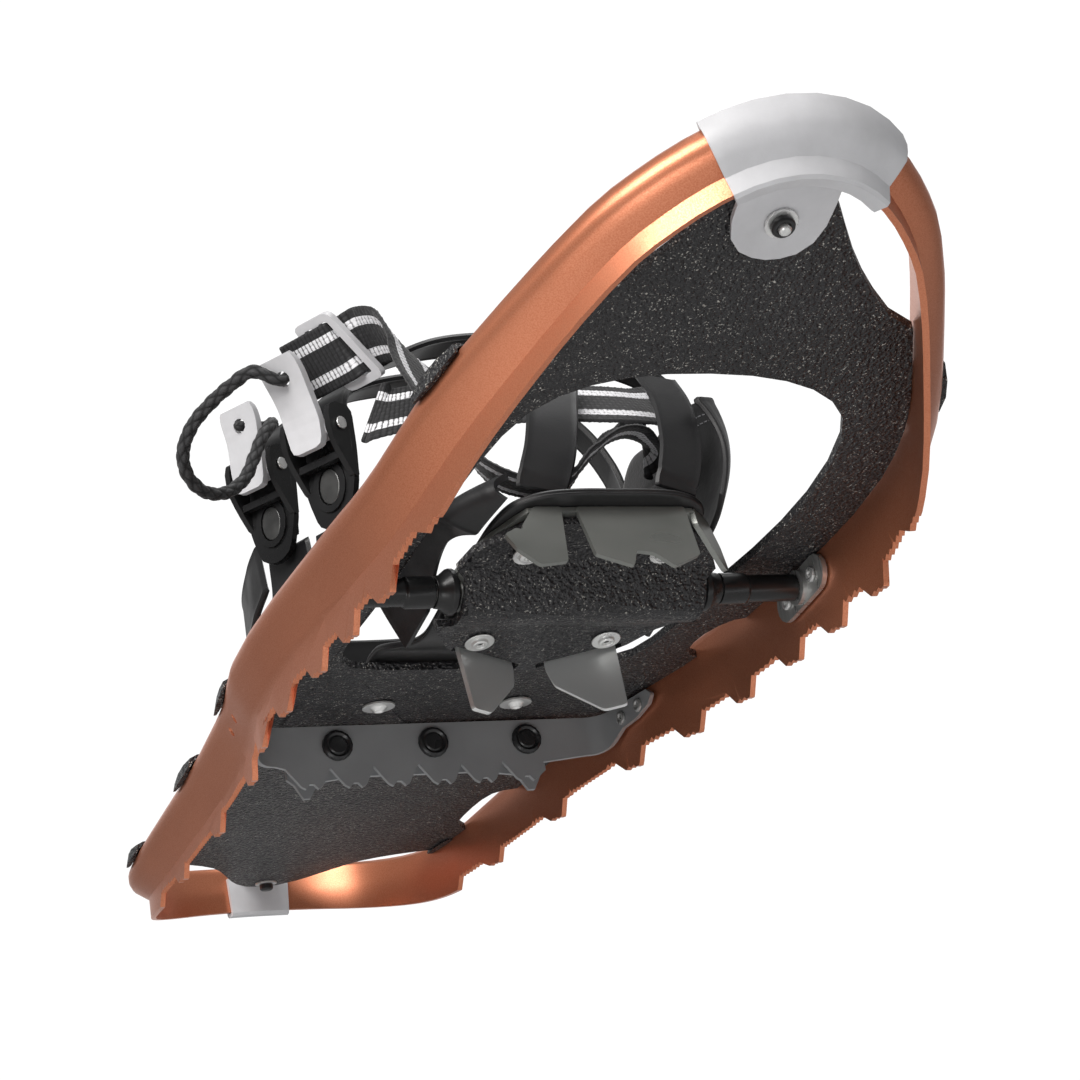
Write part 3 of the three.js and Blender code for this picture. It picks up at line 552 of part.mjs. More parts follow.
// webbing and its ladder buckle
const D1 = V(-0.61, 0, -0.79).normalize(), D2 = V(-0.46, 0.89, 0).normalize(), BC = V(71, 78, 136);
{
  const N = D1.clone().cross(D2).normalize();
  const frame = plate(rounded([[-17, -9.5], [17, -9.5], [17, 9.5], [-17, 9.5]], 3.5, 3), 3.2, [rounded([[-13.4, -6.2], [13.4, -6.2], [13.4, -1.6], [-13.4, -1.6]], 1, 2), rounded([[-13.4, 1.6], [13.4, 1.6], [13.4, 6.2], [-13.4, 6.2]], 1, 2)]);
  const g = outward(bend(frame, (a, b, c) => { const q = BC.clone().addScaledVector(D1, a).addScaledVector(D2, b).addScaledVector(N, c - 1.6); return [q.x, q.y, q.z]; }));
  add('webbing_buckle', g, 'plastic_grey');
  const wb = (b, c) => { const q = BC.clone().addScaledVector(D2, b).addScaledVector(N, c); return [q.x, q.y, q.z]; };
  const turn = (dirs) => (t) => { // width direction blended along the strap
    let i = 0; while (i < dirs.length - 2 && dirs[i + 1][0] < t) i++; const [t0, a] = dirs[i], [t1, b] = dirs[i + 1];
    return V(...a).lerp(V(...b), Math.min(1, Math.max(0, (t - t0) / (t1 - t0))));
  };
  add('cross_webbing', band([wb(-22, 4.6), wb(-13, 3.7), wb(-5, 3.2), wb(0.4, 3.1), wb(3.1, 2.0), wb(4.1, -0.6), wb(5.4, -3.3), wb(9, -6), [58, 94, 136], [54, 104, 124], [53, 113.6, 104], [49, 120.4, 85], [42.6, 126.6, 69], [37, 131, 60.5], [29, 133.6, 55.6], [19, 134.2, 54], [9.4, 133.6, 57.5], [-1, 132, 67], [-10.9, 130, 75], [-21.8, 124, 80.2], [-33.6, 114, 82.5], [-40.6, 103, 84]], 25, 1.3,
    turn([[0, [0.61, 0, 0.79]], [0.3, [0.61, 0, 0.79]], [0.5, [0.5, 0.45, 0.3]], [0.62, [0.372, 0.914, -0.05]], [0.8, [0.384, 0.858, -0.3]], [1, [0.5, 0.8, -0.3]]]), { n: 54 }), 'web');
  add('toe_webbing', band([[62, 80, 109], [59.5, 85, 106.5], [48, 94.4, 105], [34, 107.4, 100.6], [20, 120, 95.5], [6, 126, 92.8], [-8, 127.6, 92], [-22, 126.6, 92.2], [-34, 123, 93], [-42, 118, 94.5], [-46.5, 111, 95.5]], 25, 1.3,
    turn([[0, [0.1, -0.5, 0.83]], [0.5, [0.1, -0.56, 0.83]], [0.85, [0.2, -0.5, 0.8]], [1, [0.3, -0.3, 0.9]]]), { n: 22 }), 'web');
}
// braided pull cord between the two levers
const thread = (k, d) => { const p = EYES[k][0].clone().addScaledVector(EYES[k][1], d); return [p.x, p.y, p.z]; };
const CORD = [thread(0, -4), thread(0, 0), thread(0, 4), [104.5, 69, 130.6], [111, 61, 128.6], [117.8, 52, 124.4], [123.5, 44, 118.6], [126, 36, 110.9], [123.3, 29, 104.5], [115.5, 22, 100.2], [104.4, 15, 102.3], [94, 10, 110.6], [88, 7.5, 121.2], [83, 6, 131], [77, 1, 139], [74, -8, 143], [77, -14.5, 144.3], thread(1, -4), thread(1, 0), thread(1, 4)];
{
  const c = new THREE.CatmullRomCurve3(CORD.map((p) => V(...p)), false, 'centripetal');
  const pts = c.getSpacedPoints(32), fr = c.computeFrenetFrames(32), rings = pts.map((p, i) => Array.from({ length: 8 }, (_, j) => { const a = j / 8 * 2 * Math.PI; return p.clone().addScaledVector(fr.normals[i], 2.35 * Math.cos(a)).addScaledVector(fr.binormals[i], 2.35 * Math.sin(a)).toArray(); }));
  add('pull_cord', loft(rings), 'cord');
}

// ---------------------------------------------------------------- real size, and the origin under the middle of the part
const box = new THREE.Box3();
for (const m of scene.children) { m.geometry.scale(SCALE, SCALE, SCALE); m.geometry.computeBoundingBox(); if (m.name !== 'pull_cord') box.union(m.geometry.boundingBox); }
const ORIGIN = V((box.min.x + box.max.x) / 2, (box.min.y + box.max.y) / 2, box.min.z);
for (const m of scene.children) { m.geometry.translate(-ORIGIN.x, -ORIGIN.y, -ORIGIN.z); m.geometry.computeVertexNormals(); }
scene.userData.origin = ORIGIN.toArray();

export default scene;
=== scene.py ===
import math
import bpy
import numpy as np
from mathutils import Vector, Matrix


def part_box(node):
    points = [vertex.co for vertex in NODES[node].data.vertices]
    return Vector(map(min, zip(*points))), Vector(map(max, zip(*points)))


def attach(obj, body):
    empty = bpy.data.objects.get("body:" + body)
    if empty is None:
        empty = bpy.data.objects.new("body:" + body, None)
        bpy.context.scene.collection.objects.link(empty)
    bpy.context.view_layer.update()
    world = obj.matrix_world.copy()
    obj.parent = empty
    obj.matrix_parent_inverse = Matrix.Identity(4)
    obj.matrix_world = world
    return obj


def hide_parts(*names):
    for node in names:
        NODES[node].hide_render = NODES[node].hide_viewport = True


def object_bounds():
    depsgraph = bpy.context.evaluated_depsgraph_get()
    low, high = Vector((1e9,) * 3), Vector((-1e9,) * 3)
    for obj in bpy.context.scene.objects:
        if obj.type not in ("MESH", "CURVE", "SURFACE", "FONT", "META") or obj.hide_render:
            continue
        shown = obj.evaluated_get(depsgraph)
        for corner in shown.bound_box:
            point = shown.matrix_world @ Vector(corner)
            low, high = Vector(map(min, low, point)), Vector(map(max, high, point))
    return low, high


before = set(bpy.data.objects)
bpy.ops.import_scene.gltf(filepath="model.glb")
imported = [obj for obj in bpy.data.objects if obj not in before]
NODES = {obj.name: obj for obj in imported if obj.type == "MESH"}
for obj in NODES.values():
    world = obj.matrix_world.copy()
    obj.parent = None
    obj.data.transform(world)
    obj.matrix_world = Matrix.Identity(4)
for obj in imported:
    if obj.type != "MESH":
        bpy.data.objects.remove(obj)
cad_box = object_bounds()

# ------------------------------------------------------------------ drawing units (as in the CAD source) to the row frame, in metres
K = 0.92e-3
_lo, _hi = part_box("pivot_axle")
ORG = Vector((0.0, 107.0, 24.0)) * K - (_lo + _hi) / 2
ORG.x = 0.0


def P(x, y, z):
    return Vector((x, y, z)) * K - ORG


# ------------------------------------------------------------------ camera
RIGHT = Vector((-0.9233448042690056, 0.35469831665970414, -0.14704923185179797))
DOWN = Vector((0.0046488346081507426, -0.3726138621642063, -0.927974836975583))
FWD = Vector((-0.3839436947863809, -0.8575243517719168, 0.3424021398179869))
cam_data = bpy.data.cameras.new("camera")
cam_data.sensor_width = 36.0
cam_data.lens = 2750.0 / 1080.0 * 36.0
cam_data.clip_start, cam_data.clip_end = 0.05, 50.0
bpy.context.scene.view_settings.view_transform = "Standard"
cam = bpy.data.objects.new("camera", cam_data)
bpy.context.scene.collection.objects.link(cam)
m = Matrix.Identity(4)
for r in range(3):
    m[r][0], m[r][1], m[r][2] = RIGHT[r], -DOWN[r], -FWD[r]
pos = P(411.16892617584676, 998.2199433090573, -311.2721478187316)
m[0][3], m[1][3], m[2][3] = pos
cam.matrix_world = m
bpy.context.scene.camera = cam

# ------------------------------------------------------------------ node materials


class Mat:
    def __init__(self, name):
        self.m = bpy.data.materials.new(name)
        self.m.use_nodes = True
        self.t = self.m.node_tree
        self.b = self.t.nodes["Principled BSDF"]
        self.tc = self.t.nodes.new("ShaderNodeTexCoord")

    def node(self, kind, **kw):
        n = self.t.nodes.new(kind)
        for k, v in kw.items():
            setattr(n, k, v)
        return n

    def link(self, a, b):
        self.t.links.new(a, b)

    def set(self, **kw):
        for k, v in kw.items():
            self.b.inputs[k.replace("_", " ")].default_value = v
        return self

    def noise(self, scale, detail=2.0, rough=0.5, stretch=None, src=None):
        n = self.node("ShaderNodeTexNoise")
        n.inputs["Scale"].default_value = scale
        n.inputs["Detail"].default_value = detail
        n.inputs["Roughness"].default_value = rough
        out = src or self.tc.outputs["Object"]
        if stretch:
            mp = self.node("ShaderNodeMapping")
            mp.inputs["Scale"].default_value = stretch
            self.link(out, mp.inputs["Vector"])
            out = mp.outputs["Vector"]
        self.link(out, n.inputs["Vector"])
        return n.outputs["Fac"]

    def voronoi(self, scale, feature="F1", src=None, rand=1.0):
        n = self.node("ShaderNodeTexVoronoi", feature=feature)
        n.inputs["Scale"].default_value = scale
        if "Randomness" in n.inputs:
            n.inputs["Randomness"].default_value = rand
        self.link(src or self.tc.outputs["Object"], n.inputs["Vector"])
        return n.outputs["Distance"]

    def ramp(self, fac, stops, interp="LINEAR"):
        n = self.node("ShaderNodeValToRGB")
        n.color_ramp.interpolation = interp
        els = n.color_ramp.elements
        while len(els) < len(stops):
            els.new(0.5)
        for e, (p, c) in zip(els, stops):
            e.position = p
            e.color = (*c, 1.0) if hasattr(c, "__len__") else (c, c, c, 1.0)
        self.link(fac, n.inputs["Fac"])
        return n.outputs["Color"]

    def math(self, op, a, b=None, c=None):
        n = self.node("ShaderNodeMath", operation=op)
        for i, v in enumerate([a, b, c]):
            if v is None:
                continue
            if isinstance(v, (int, float)):
                n.inputs[i].default_value = v
            else:
                self.link(v, n.inputs[i])
        return n.outputs[0]

    def mix(self, fac, a, b):
        n = self.node("ShaderNodeMix", data_type="RGBA")
        for s, v in ((n.inputs[0], fac), (n.inputs[6], a), (n.inputs[7], b)):
            if isinstance(v, (int, float)):
                s.default_value = v
            elif isinstance(v, tuple):
                s.default_value = (*v, 1.0)
            else:
                self.link(v, s)
        return n.outputs[2]

    def bump(self, height, dist, strength=1.0, prev=None):
        n = self.node("ShaderNodeBump")
        n.inputs["Distance"].default_value = dist
        n.inputs["Strength"].default_value = strength
        self.link(height, n.inputs["Height"])
        if prev is not None:
            self.link(prev, n.inputs["Normal"])
        self.link(n.outputs["Normal"], self.b.inputs["Normal"])
        return n.outputs["Normal"]

    def colour(self, out):
        self.link(out, self.b.inputs["Base Color"])
        return self

    def rough(self, out):
        self.link(out, self.b.inputs["Roughness"])
        return self


def make_copper():
    k = Mat("copper_anodised")
    k.set(Metallic=0.8, Specular_IOR_Level=0.6, Coat_Weight=0.12, Coat_Roughness=0.3)
    broad = k.noise(9.0, 3.0, 0.55)
    fine = k.noise(2100.0, 2.0, 0.7)
    tint = k.ramp(broad, [(0.3, (0.53, 0.165, 0.078)), (0.7, (0.62, 0.212, 0.108))])
    speck = k.ramp(fine, [(0.36, 0.0), (0.62, 1.0)])
    k.colour(k.mix(k.math("MULTIPLY", speck, 0.26), tint, (0.86, 0.42, 0.26)))
    k.rough(k.ramp(fine, [(0.3, 0.44), (0.7, 0.30)]))
    k.bump(fine, 0.00006, 0.5)
    return k.m


def make_deck(name, scale=620.0, glint=1.0):
    k = Mat(name)
    k.set(Specular_IOR_Level=0.45)
    cell = k.voronoi(scale, "F1")
    cell2 = k.voronoi(scale * 1.7, "F1")
    low = k.noise(14.0, 2.0)
    base = k.ramp(low, [(0.3, (0.010, 0.0097, 0.011)), (0.7, (0.019, 0.0185, 0.0205))])
    # painted glints: sparse pale dots in the base colour stand in for tiny specular highlights on the pebbled grain
    gl = k.noise(1500.0, 1.0, 0.5)
    gl2 = k.noise(380.0, 2.0, 0.6)
    painted_glints = k.math("MULTIPLY", k.ramp(gl, [(0.63, 0.0), (0.67, 1.0)]), k.ramp(gl2, [(0.45, 0.0), (0.6, 1.0)]))
    k.colour(k.mix(k.math("MULTIPLY", painted_glints, 0.75 * glint), base, (0.62, 0.60, 0.55)))
    k.rough(k.ramp(cell, [(0.0, 0.27), (0.8, 0.52)]))
    h = k.math("ADD", k.math("MULTIPLY", cell, 1.0), k.math("MULTIPLY", cell2, 0.5))
    k.bump(h, 0.0011, 0.9)
    return k.m


def make_grey():
    k = Mat("grey_moulding")
    k.set(Specular_IOR_Level=0.5)
    mott = k.noise(60.0, 4.0, 0.6)
    fine = k.noise(1400.0, 2.0)
    k.colour(k.ramp(mott, [(0.3, (0.50, 0.50, 0.515)), (0.7, (0.58, 0.58, 0.598))]))
    k.rough(k.ramp(mott, [(0.3, 0.34), (0.7, 0.46)]))
    k.bump(fine, 0.00005, 0.4)
    return k.m


def make_steel(name, dark, light, stretch=(1.0, 30.0, 1.0), rough=(0.24, 0.44)):
    k = Mat(name)
    k.set(Metallic=0.72)
    streak = k.noise(28.0, 2.0, 0.5, stretch=stretch)
    blot = k.noise(45.0, 3.0, 0.6)
    k.colour(k.mix(k.ramp(blot, [(0.35, 0.0), (0.65, 1.0)]), k.ramp(streak, [(0.3, dark), (0.7, light)]), tuple(0.9 * v for v in light)))
    k.rough(k.ramp(streak, [(0.3, rough[0]), (0.7, rough[1])]))
    k.bump(k.noise(900.0, 1.0, 0.5), 0.00002, 0.12)
    return k.m


def make_bar():
    k = Mat("crossbar_coat")
    k.set(Metallic=0.35)
    fine = k.noise(1100.0, 3.0, 0.65)
    broad = k.noise(25.0, 3.0)
    k.colour(k.mix(k.math("MULTIPLY", k.ramp(fine, [(0.5, 0.0), (0.75, 1.0)]), 0.35), k.ramp(broad, [(0.3, (0.25, 0.255, 0.262)), (0.7, (0.33, 0.335, 0.342))]), (0.30, 0.30, 0.31)))
    k.rough(k.ramp(fine, [(0.3, 0.30), (0.7, 0.48)]))
    k.bump(fine, 0.00005, 0.5)
    return k.m


def make_black(name, base=0.017, rough=(0.28, 0.42), grain=1300.0, bump=0.00005):
    k = Mat(name)
    k.set(Specular_IOR_Level=0.4)
    broad = k.noise(50.0, 3.0, 0.6)
    fine = k.noise(grain, 2.0, 0.6)
    k.colour(k.ramp(broad, [(0.3, (base * 0.85, base * 0.85, base * 0.92)), (0.7, (base * 1.25, base * 1.24, base * 1.3))]))
    k.rough(k.ramp(broad, [(0.3, rough[0]), (0.7, rough[1])]))
    k.bump(fine, bump, 0.5)
    return k.m


def make_pad():
    k = Mat("padding_cloth")
    k.set(Roughness=0.95, Sheen_Weight=0.3)
    a = k.noise(900.0, 3.0, 0.7)
    b = k.noise(120.0, 3.0, 0.6)
    k.colour(k.ramp(b, [(0.3, (0.010, 0.010, 0.011)), (0.7, (0.020, 0.020, 0.022))]))
    k.bump(a, 0.0003, 0.7)
    return k.m


def make_cloth(name, base, light, stripe=False):
    """Woven strap: the weave is in the mesh, and the stripes come from the strap's own width coordinate; the weave's
    grooves are darkened in colour as painted shade.
    """
    k = Mat(name)
    k.set(Roughness=0.82, Sheen_Weight=0.15)
    fibre = k.noise(2600.0, 3.0, 0.7)
    dark = k.ramp(fibre, [(0.3, base), (0.7, tuple(2.4 * v for v in base))])
    if stripe:
        at = k.node("ShaderNodeAttribute", attribute_name="across")
        x = at.outputs["Fac"]
        d = k.math("ABSOLUTE", k.math("SUBTRACT", k.math("ABSOLUTE", k.math("SUBTRACT", x, 0.5)), 0.27))
        mask = k.math("LESS_THAN", d, 0.072)
        pale = k.ramp(fibre, [(0.3, tuple(0.72 * v for v in light)), (0.7, light)])
        flat = k.mix(mask, dark, pale)
    else:
        flat = dark
    # painted shade: where the weave dips (low crown) the colour goes to near black, standing in for shade in the
    # grooves between threads
    crown = k.node("ShaderNodeAttribute", attribute_name="crown").outputs["Fac"]
    k.colour(k.mix(k.ramp(crown, [(0.06, 0.0), (0.42, 1.0)]), (0.0035, 0.0035, 0.004), flat))
    k.rough(k.ramp(crown, [(0.2, 0.9), (0.9, 0.55)]))
    k.bump(fibre, 0.0001, 0.6)
    return k.m


COPPER = make_copper()
DECK = make_deck("deck_pebble", 620.0)
COVER = make_deck("cover_pebble", 560.0, 0.8)
GREY = make_grey()
CLAW = make_steel("claw_steel", (0.19, 0.197, 0.183), (0.26, 0.268, 0.252), stretch=(1.0, 1.0, 2.0))
BRACKET = make_steel("bracket_steel", (0.34, 0.34, 0.33), (0.50, 0.50, 0.49))
FAST = make_steel("fastener_steel", (0.68, 0.68, 0.67), (0.80, 0.80, 0.79), stretch=(2.0, 2.0, 2.0), rough=(0.22, 0.36))
BAR = make_bar()
BLACK = make_black("black_moulding", 0.008, (0.24, 0.38))
TPU = make_black("strap_tpu", 0.012, (0.34, 0.50), 900.0, 0.00009)
DOME = make_black("rivet_dome", 0.014, (0.22, 0.34))
BUTTON = make_steel("button_steel", (0.07, 0.07, 0.07), (0.11, 0.11, 0.108), stretch=(5.0, 5.0, 5.0))
PAD = make_pad()
WEB = make_cloth("strap_weave", (0.007, 0.007, 0.008), (0.92, 0.92, 0.95), stripe=True)
CORDM = make_cloth("cord_braid", (0.013, 0.013, 0.014), (0.5, 0.5, 0.5))

# ------------------------------------------------------------------ CAD nodes: material, softened edges


def dress(o, mat, bevel=0.0005, angle=32.0, seg=2):
    o.data.materials.clear()
    o.data.materials.append(mat)
    for p in o.data.polygons:
        p.use_smooth = True
    w = o.modifiers.new("weld", "WELD")
    w.merge_threshold = 2e-6
    if bevel:
        b = o.modifiers.new("bevel", "BEVEL")
        b.width = bevel
        b.segments = seg
        b.limit_method = "ANGLE"
        b.angle_limit = math.radians(angle)
        b.harden_normals = True
        b.use_clamp_overlap = True
        b.miter_outer = "MITER_ARC"
    wn = o.modifiers.new("normals", "WEIGHTED_NORMAL")
    wn.keep_sharp = True
    wn.weight = 90


RULES = [
    ("frame_rail", COPPER, 0.00035, 36), ("deck_rivet", FAST, 0.00014, 22), ("deck", DECK, 0.0006, 40), ("nose_clip", GREY, 0.0006, 34), ("tail_clip", GREY, 0.0005, 34),
    ("nose_nut", DOME, 0.00014, 24), ("tail_screw", DOME, 0.00014, 24), ("pivot_bracket", BRACKET, 0.00045, 34), ("axle_sleeve", BLACK, 0.0004, 34),
    ("pivot_axle", FAST, 0.0003, 34), ("heel_crossbar", BAR, 0.0004, 34), ("crossbar_cap", DOME, 0.00014, 24), ("crossbar_side_rivet", BRACKET, 0.00014, 24),
    ("toe_crampon", CLAW, 0.00045, 32), ("crampon_cover", COVER, 0.0006, 36), ("pivot_bush", BLACK, 0.0003, 34), ("foot_bed", TPU, 0.0007, 34), ("foot_pad", PAD, 0.0006, 34),
    ("wing", TPU, 0.0006, 34), ("medial_pad", PAD, 0.001, 34), ("toe_strap", TPU, 0.0005, 34), ("instep_strap", TPU, 0.0005, 34), ("ankle_strap", TPU, 0.0005, 34),
    ("instep_panel", TPU, 0.0005, 34), ("ankle_panel", TPU, 0.0005, 34), ("heel_strap", TPU, 0.0006, 34), ("ratchet_base", BLACK, 0.0007, 32), ("ratchet_pin", FAST, 0.0003, 34),
    ("lever", GREY, 0.0008, 32), ("release_button", BUTTON, 0.0006, 34), ("webbing_buckle", GREY, 0.0006, 34), ("cross_webbing", WEB, 0.0003, 34), ("toe_webbing", WEB, 0.0003, 34),
    ("pull_cord", CORDM, 0.0, 34),
]
def paint_rear_claw_highlight(o, mat):
    """Painted highlight: the rear claws of the crampon are painted lighter than the front ones, standing in for the
    light that falls on their faces.
    """
    t = mat.node_tree
    b = t.nodes["Principled BSDF"]
    src = b.inputs["Base Color"].links[0].from_socket
    inv = o.matrix_world.inverted()
    y0, y1 = (inv @ P(0, 78, 24)).y, (inv @ P(0, 112, 24)).y
    c = t.nodes.new("ShaderNodeTexCoord")
    sp = t.nodes.new("ShaderNodeSeparateXYZ")
    t.links.new(c.outputs["Object"], sp.inputs[0])
    r = t.nodes.new("ShaderNodeMapRange")
    for nm, v in (("From Min", y0), ("From Max", y1), ("To Min", 1.0), ("To Max", 0.0)):
        r.inputs[nm].default_value = v
    t.links.new(sp.outputs["Y"], r.inputs["Value"])
    x = t.nodes.new("ShaderNodeMix")
    x.data_type = "RGBA"
    # pale colour of the painted highlight on the rear claws
    x.inputs[7].default_value = (0.80, 0.81, 0.80, 1.0)
    t.links.new(r.outputs["Result"], x.inputs[0])
    t.links.new(src, x.inputs[6])
    t.links.new(x.outputs[2], b.inputs["Base Color"])


# painted highlight on the rear claws
paint_rear_claw_highlight(NODES["toe_crampon"], CLAW)
for name, o in NODES.items():
    hit = [r for r in RULES if name.startswith(r[0])]
    if hit:
        dress(o, hit[0][1], hit[0][2], hit[0][3])
    else:
        dress(o, FAST, 0.00014, 22)

# ------------------------------------------------------------------ curve helpers, the same routes as the CAD source


def spline(points, per=40):
    """Centripetal Catmull-Rom through points, sampled finely."""
    p = [Vector(q) for q in points]
    out = []
    for i in range(len(p) - 1):
        p1, p2 = p[i], p[i + 1]
        p0 = p[i - 1] if i > 0 else p1 * 2 - p2
        p3 = p[i + 2] if i + 2 < len(p) else p2 * 2 - p1
        d0, d1, d2 = ((b - a).length ** 0.5 for a, b in ((p0, p1), (p1, p2), (p2, p3)))
        if d1 < 1e-4:
            d1 = 1.0
        d0, d2 = (d0 if d0 > 1e-4 else d1), (d2 if d2 > 1e-4 else d1)
        t1 = ((p1 - p0) / d0 - (p2 - p0) / (d0 + d1) + (p2 - p1) / d1) * d1
        t2 = ((p2 - p1) / d1 - (p3 - p1) / (d1 + d2) + (p3 - p2) / d2) * d1
        for j in range(per):
            t = j / per
            out.append(p1 + t1 * t + (p1 * -3 + p2 * 3 - t1 * 2 - t2) * t * t + (p1 * 2 - p2 * 2 + t1 + t2) * t ** 3)
    out.append(p[-1].copy())
    return out


def spaced(points, n):
    """n + 1 points evenly spaced along the spline."""
    d = spline(points)
    s = [0.0]
    for a, b in zip(d, d[1:]):
        s.append(s[-1] + (b - a).length)
    out, j = [], 0
    for i in range(n + 1):
        want = s[-1] * i / n
        while j < len(s) - 2 and s[j + 1] < want:
            j += 1
        f = (want - s[j]) / max(1e-9, s[j + 1] - s[j])
        out.append(d[j].lerp(d[j + 1], min(1.0, max(0.0, f))))
    return out, s[-1]


def new_mesh(name, verts, faces, mat, body, smooth=40.0, across=None, crown=None):
    me = bpy.data.meshes.new(name)
    me.from_pydata([tuple(v) for v in verts], [], faces)
    me.validate()
    me.update()
    me.materials.append(mat)
    for p in me.polygons:
        p.use_smooth = True
    me.set_sharp_from_angle(angle=math.radians(smooth))
    if across is not None:
        at = me.attributes.new("across", "FLOAT", "POINT")
        at.data.foreach_set("value", np.array(across, np.float32))
    if crown is not None:
        at = me.attributes.new("crown", "FLOAT", "POINT")
        at.data.foreach_set("value", np.array(crown, np.float32))
    o = bpy.data.objects.new(name, me)
    bpy.context.scene.collection.objects.link(o)
    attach(o, body)
    return o


def stations(path, n, side):
    pts, length = spaced(path, n)
    fr = []
    for i, p in enumerate(pts):
        t = i / n
        T = (pts[min(n, i + 1)] - pts[max(0, i - 1)]).normalized()
        sd = Vector(side(t))
        sd = (sd - T * sd.dot(T)).normalized()
        fr.append((p, T, sd, T.cross(sd)))
    return fr, length


def strap(name, path, width, thick, side, body, mat, replaces, n=90, rim=0.0, lines=0, ribs=None):
    """A moulded strap with rounded edges, an optional raised rim, and optional ribs across it."""
    fr, length = stations(path, n, side)
    # section: (across -1..1, face +1/-1, height factor)
    top = []
    cols = 22
    for k in range(cols + 1):
        x = -1 + 2 * k / cols
        top.append(x)
    verts, faces, across = [], [], []
    ring = []
    for i, (p, T, sd, N) in enumerate(fr):
        t = i / n
        w = (width(t) if callable(width) else width) / 2
        h = (thick(t) if callable(thick) else thick) / 2
        e = min(i, n - i) * length / n
        endk = math.sqrt(max(0.0, 1 - max(0.0, 1 - e / (h * 1.0)) ** 2)) if e < h else 1.0
        pts = []
        for sgn, xs in ((1, top), (-1, top[::-1])):
            for x in xs:
                r = h * 0.95 / w
                q = 1.0
                ax = abs(x)
                if ax > 1 - r:
                    q = math.sqrt(max(0.0, 1 - ((ax - 1 + r) / r) ** 2))
                up = h * q
                if rim and ax > 0.80 and ax < 0.965:
                    up += rim * math.sin((ax - 0.80) / 0.165 * math.pi)
                if ribs and 0.08 < t < 0.92 and ax < 0.66:
                    ph = (t * length / ribs[0]) % 1.0
                    up += ribs[1] * (max(0.0, math.sin(ph * 2 * math.pi)) ** 0.6)
                pts.append(p + sd * (x * w) + N * (sgn * up * max(0.15, endk)))
                across.append((x + 1) / 2)
        ring.append(range(len(verts), len(verts) + len(pts)))
        verts += pts
    m_ = len(ring[0])
    for a, b in zip(ring, ring[1:]):
        for j in range(m_):
            faces.append((a[j], a[(j + 1) % m_], b[(j + 1) % m_], b[j]))
    faces.append(tuple(reversed(ring[0])))
    faces.append(tuple(ring[-1]))
    verts = [P(*v) for v in verts]
    o = new_mesh(name, verts, faces, mat, body, 42.0, across)
    if replaces:
        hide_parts(*replaces)
    return o, length


def woven(name, path, width, thick, side, body, replaces, pitch=1.9, warp=14, amp=0.42):
    """A woven strap: plain weave with ribs across and the warp threads along it, in the mesh."""
    fr0, length = stations(path, 30, side)
    n = int(length / pitch * 3)
    fr, length = stations(path, n, side)
    cols = warp * 3
    verts, faces, across, rings, crown = [], [], [], [], []
    for i, (p, T, sd, N) in enumerate(fr):
        w, h = width / 2, thick / 2
        v = i / n * length / pitch
        pts = []
        for sgn, order in ((1, range(cols + 1)), (-1, range(cols, -1, -1))):
            for k in order:
                x = -1 + 2 * k / cols
                u = k / cols * warp
                cell = (int(u) + int(v)) % 2
                bumpy = abs(math.sin(math.pi * v)) ** 0.8 * (0.55 + 0.45 * abs(math.sin(math.pi * u))) * (1.0 if cell else 0.62)
                q = 1.0
                ax = abs(x)
                if ax > 0.955:
                    q = math.sqrt(max(0.0, 1 - ((ax - 0.955) / 0.045) ** 2))
                wob = 0.10 * math.sin(math.pi * v) if ax > 0.98 else 0.0
                pts.append(p + sd * (x * w + math.copysign(wob, x)) + N * sgn * (h * q * 0.8 + amp * bumpy * q))
                across.append((x + 1) / 2)
                # crown height: also drives the painted shade in the weave's grooves
                crown.append(bumpy)
        rings.append(range(len(verts), len(verts) + len(pts)))
        verts += pts
    m_ = len(rings[0])
    for a, b in zip(rings, rings[1:]):
        for j in range(m_):
            faces.append((a[j], a[(j + 1) % m_], b[(j + 1) % m_], b[j]))
    faces.append(tuple(reversed(rings[0])))
    faces.append(tuple(rings[-1]))
    o = new_mesh(name, [P(*v) for v in verts], faces, WEB, body, 60.0, across, crown)
    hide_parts(*replaces)
    return o, length


# ------------------------------------------------------------------ pull cord
OUT = Vector((0.87, 0.5, 0)).normalized()
PIN = Vector((-0.5, 0.87, 0)).normalized()
C1, C2 = Vector((80, 62.6, 107)), Vector((80, -14.4, 123))
EYES = [(Vector((91.7303, 69.3415, 128.0102)), Vector((0.7432, 0.4271, -0.5151))), (Vector((85.7993, -11.0671, 143.5484)), Vector((0.8403, 0.4829, -0.2465)))]


def thread(k, d):
    return EYES[k][0] + EYES[k][1] * d


CORD = [thread(0, -4), thread(0, 0), thread(0, 4), (104.5, 69, 130.6), (111, 61, 128.6), (117.8, 52, 124.4), (123.5, 44, 118.6), (126, 36, 110.9), (123.3, 29, 104.5),
        (115.5, 22, 100.2), (104.4, 15, 102.3), (94, 10, 110.6), (88, 7.5, 121.2), (83, 6, 131), (77, 1, 139), (74, -8, 143), (77, -14.5, 144.3), thread(1, -4), thread(1, 0), thread(1, 4)]


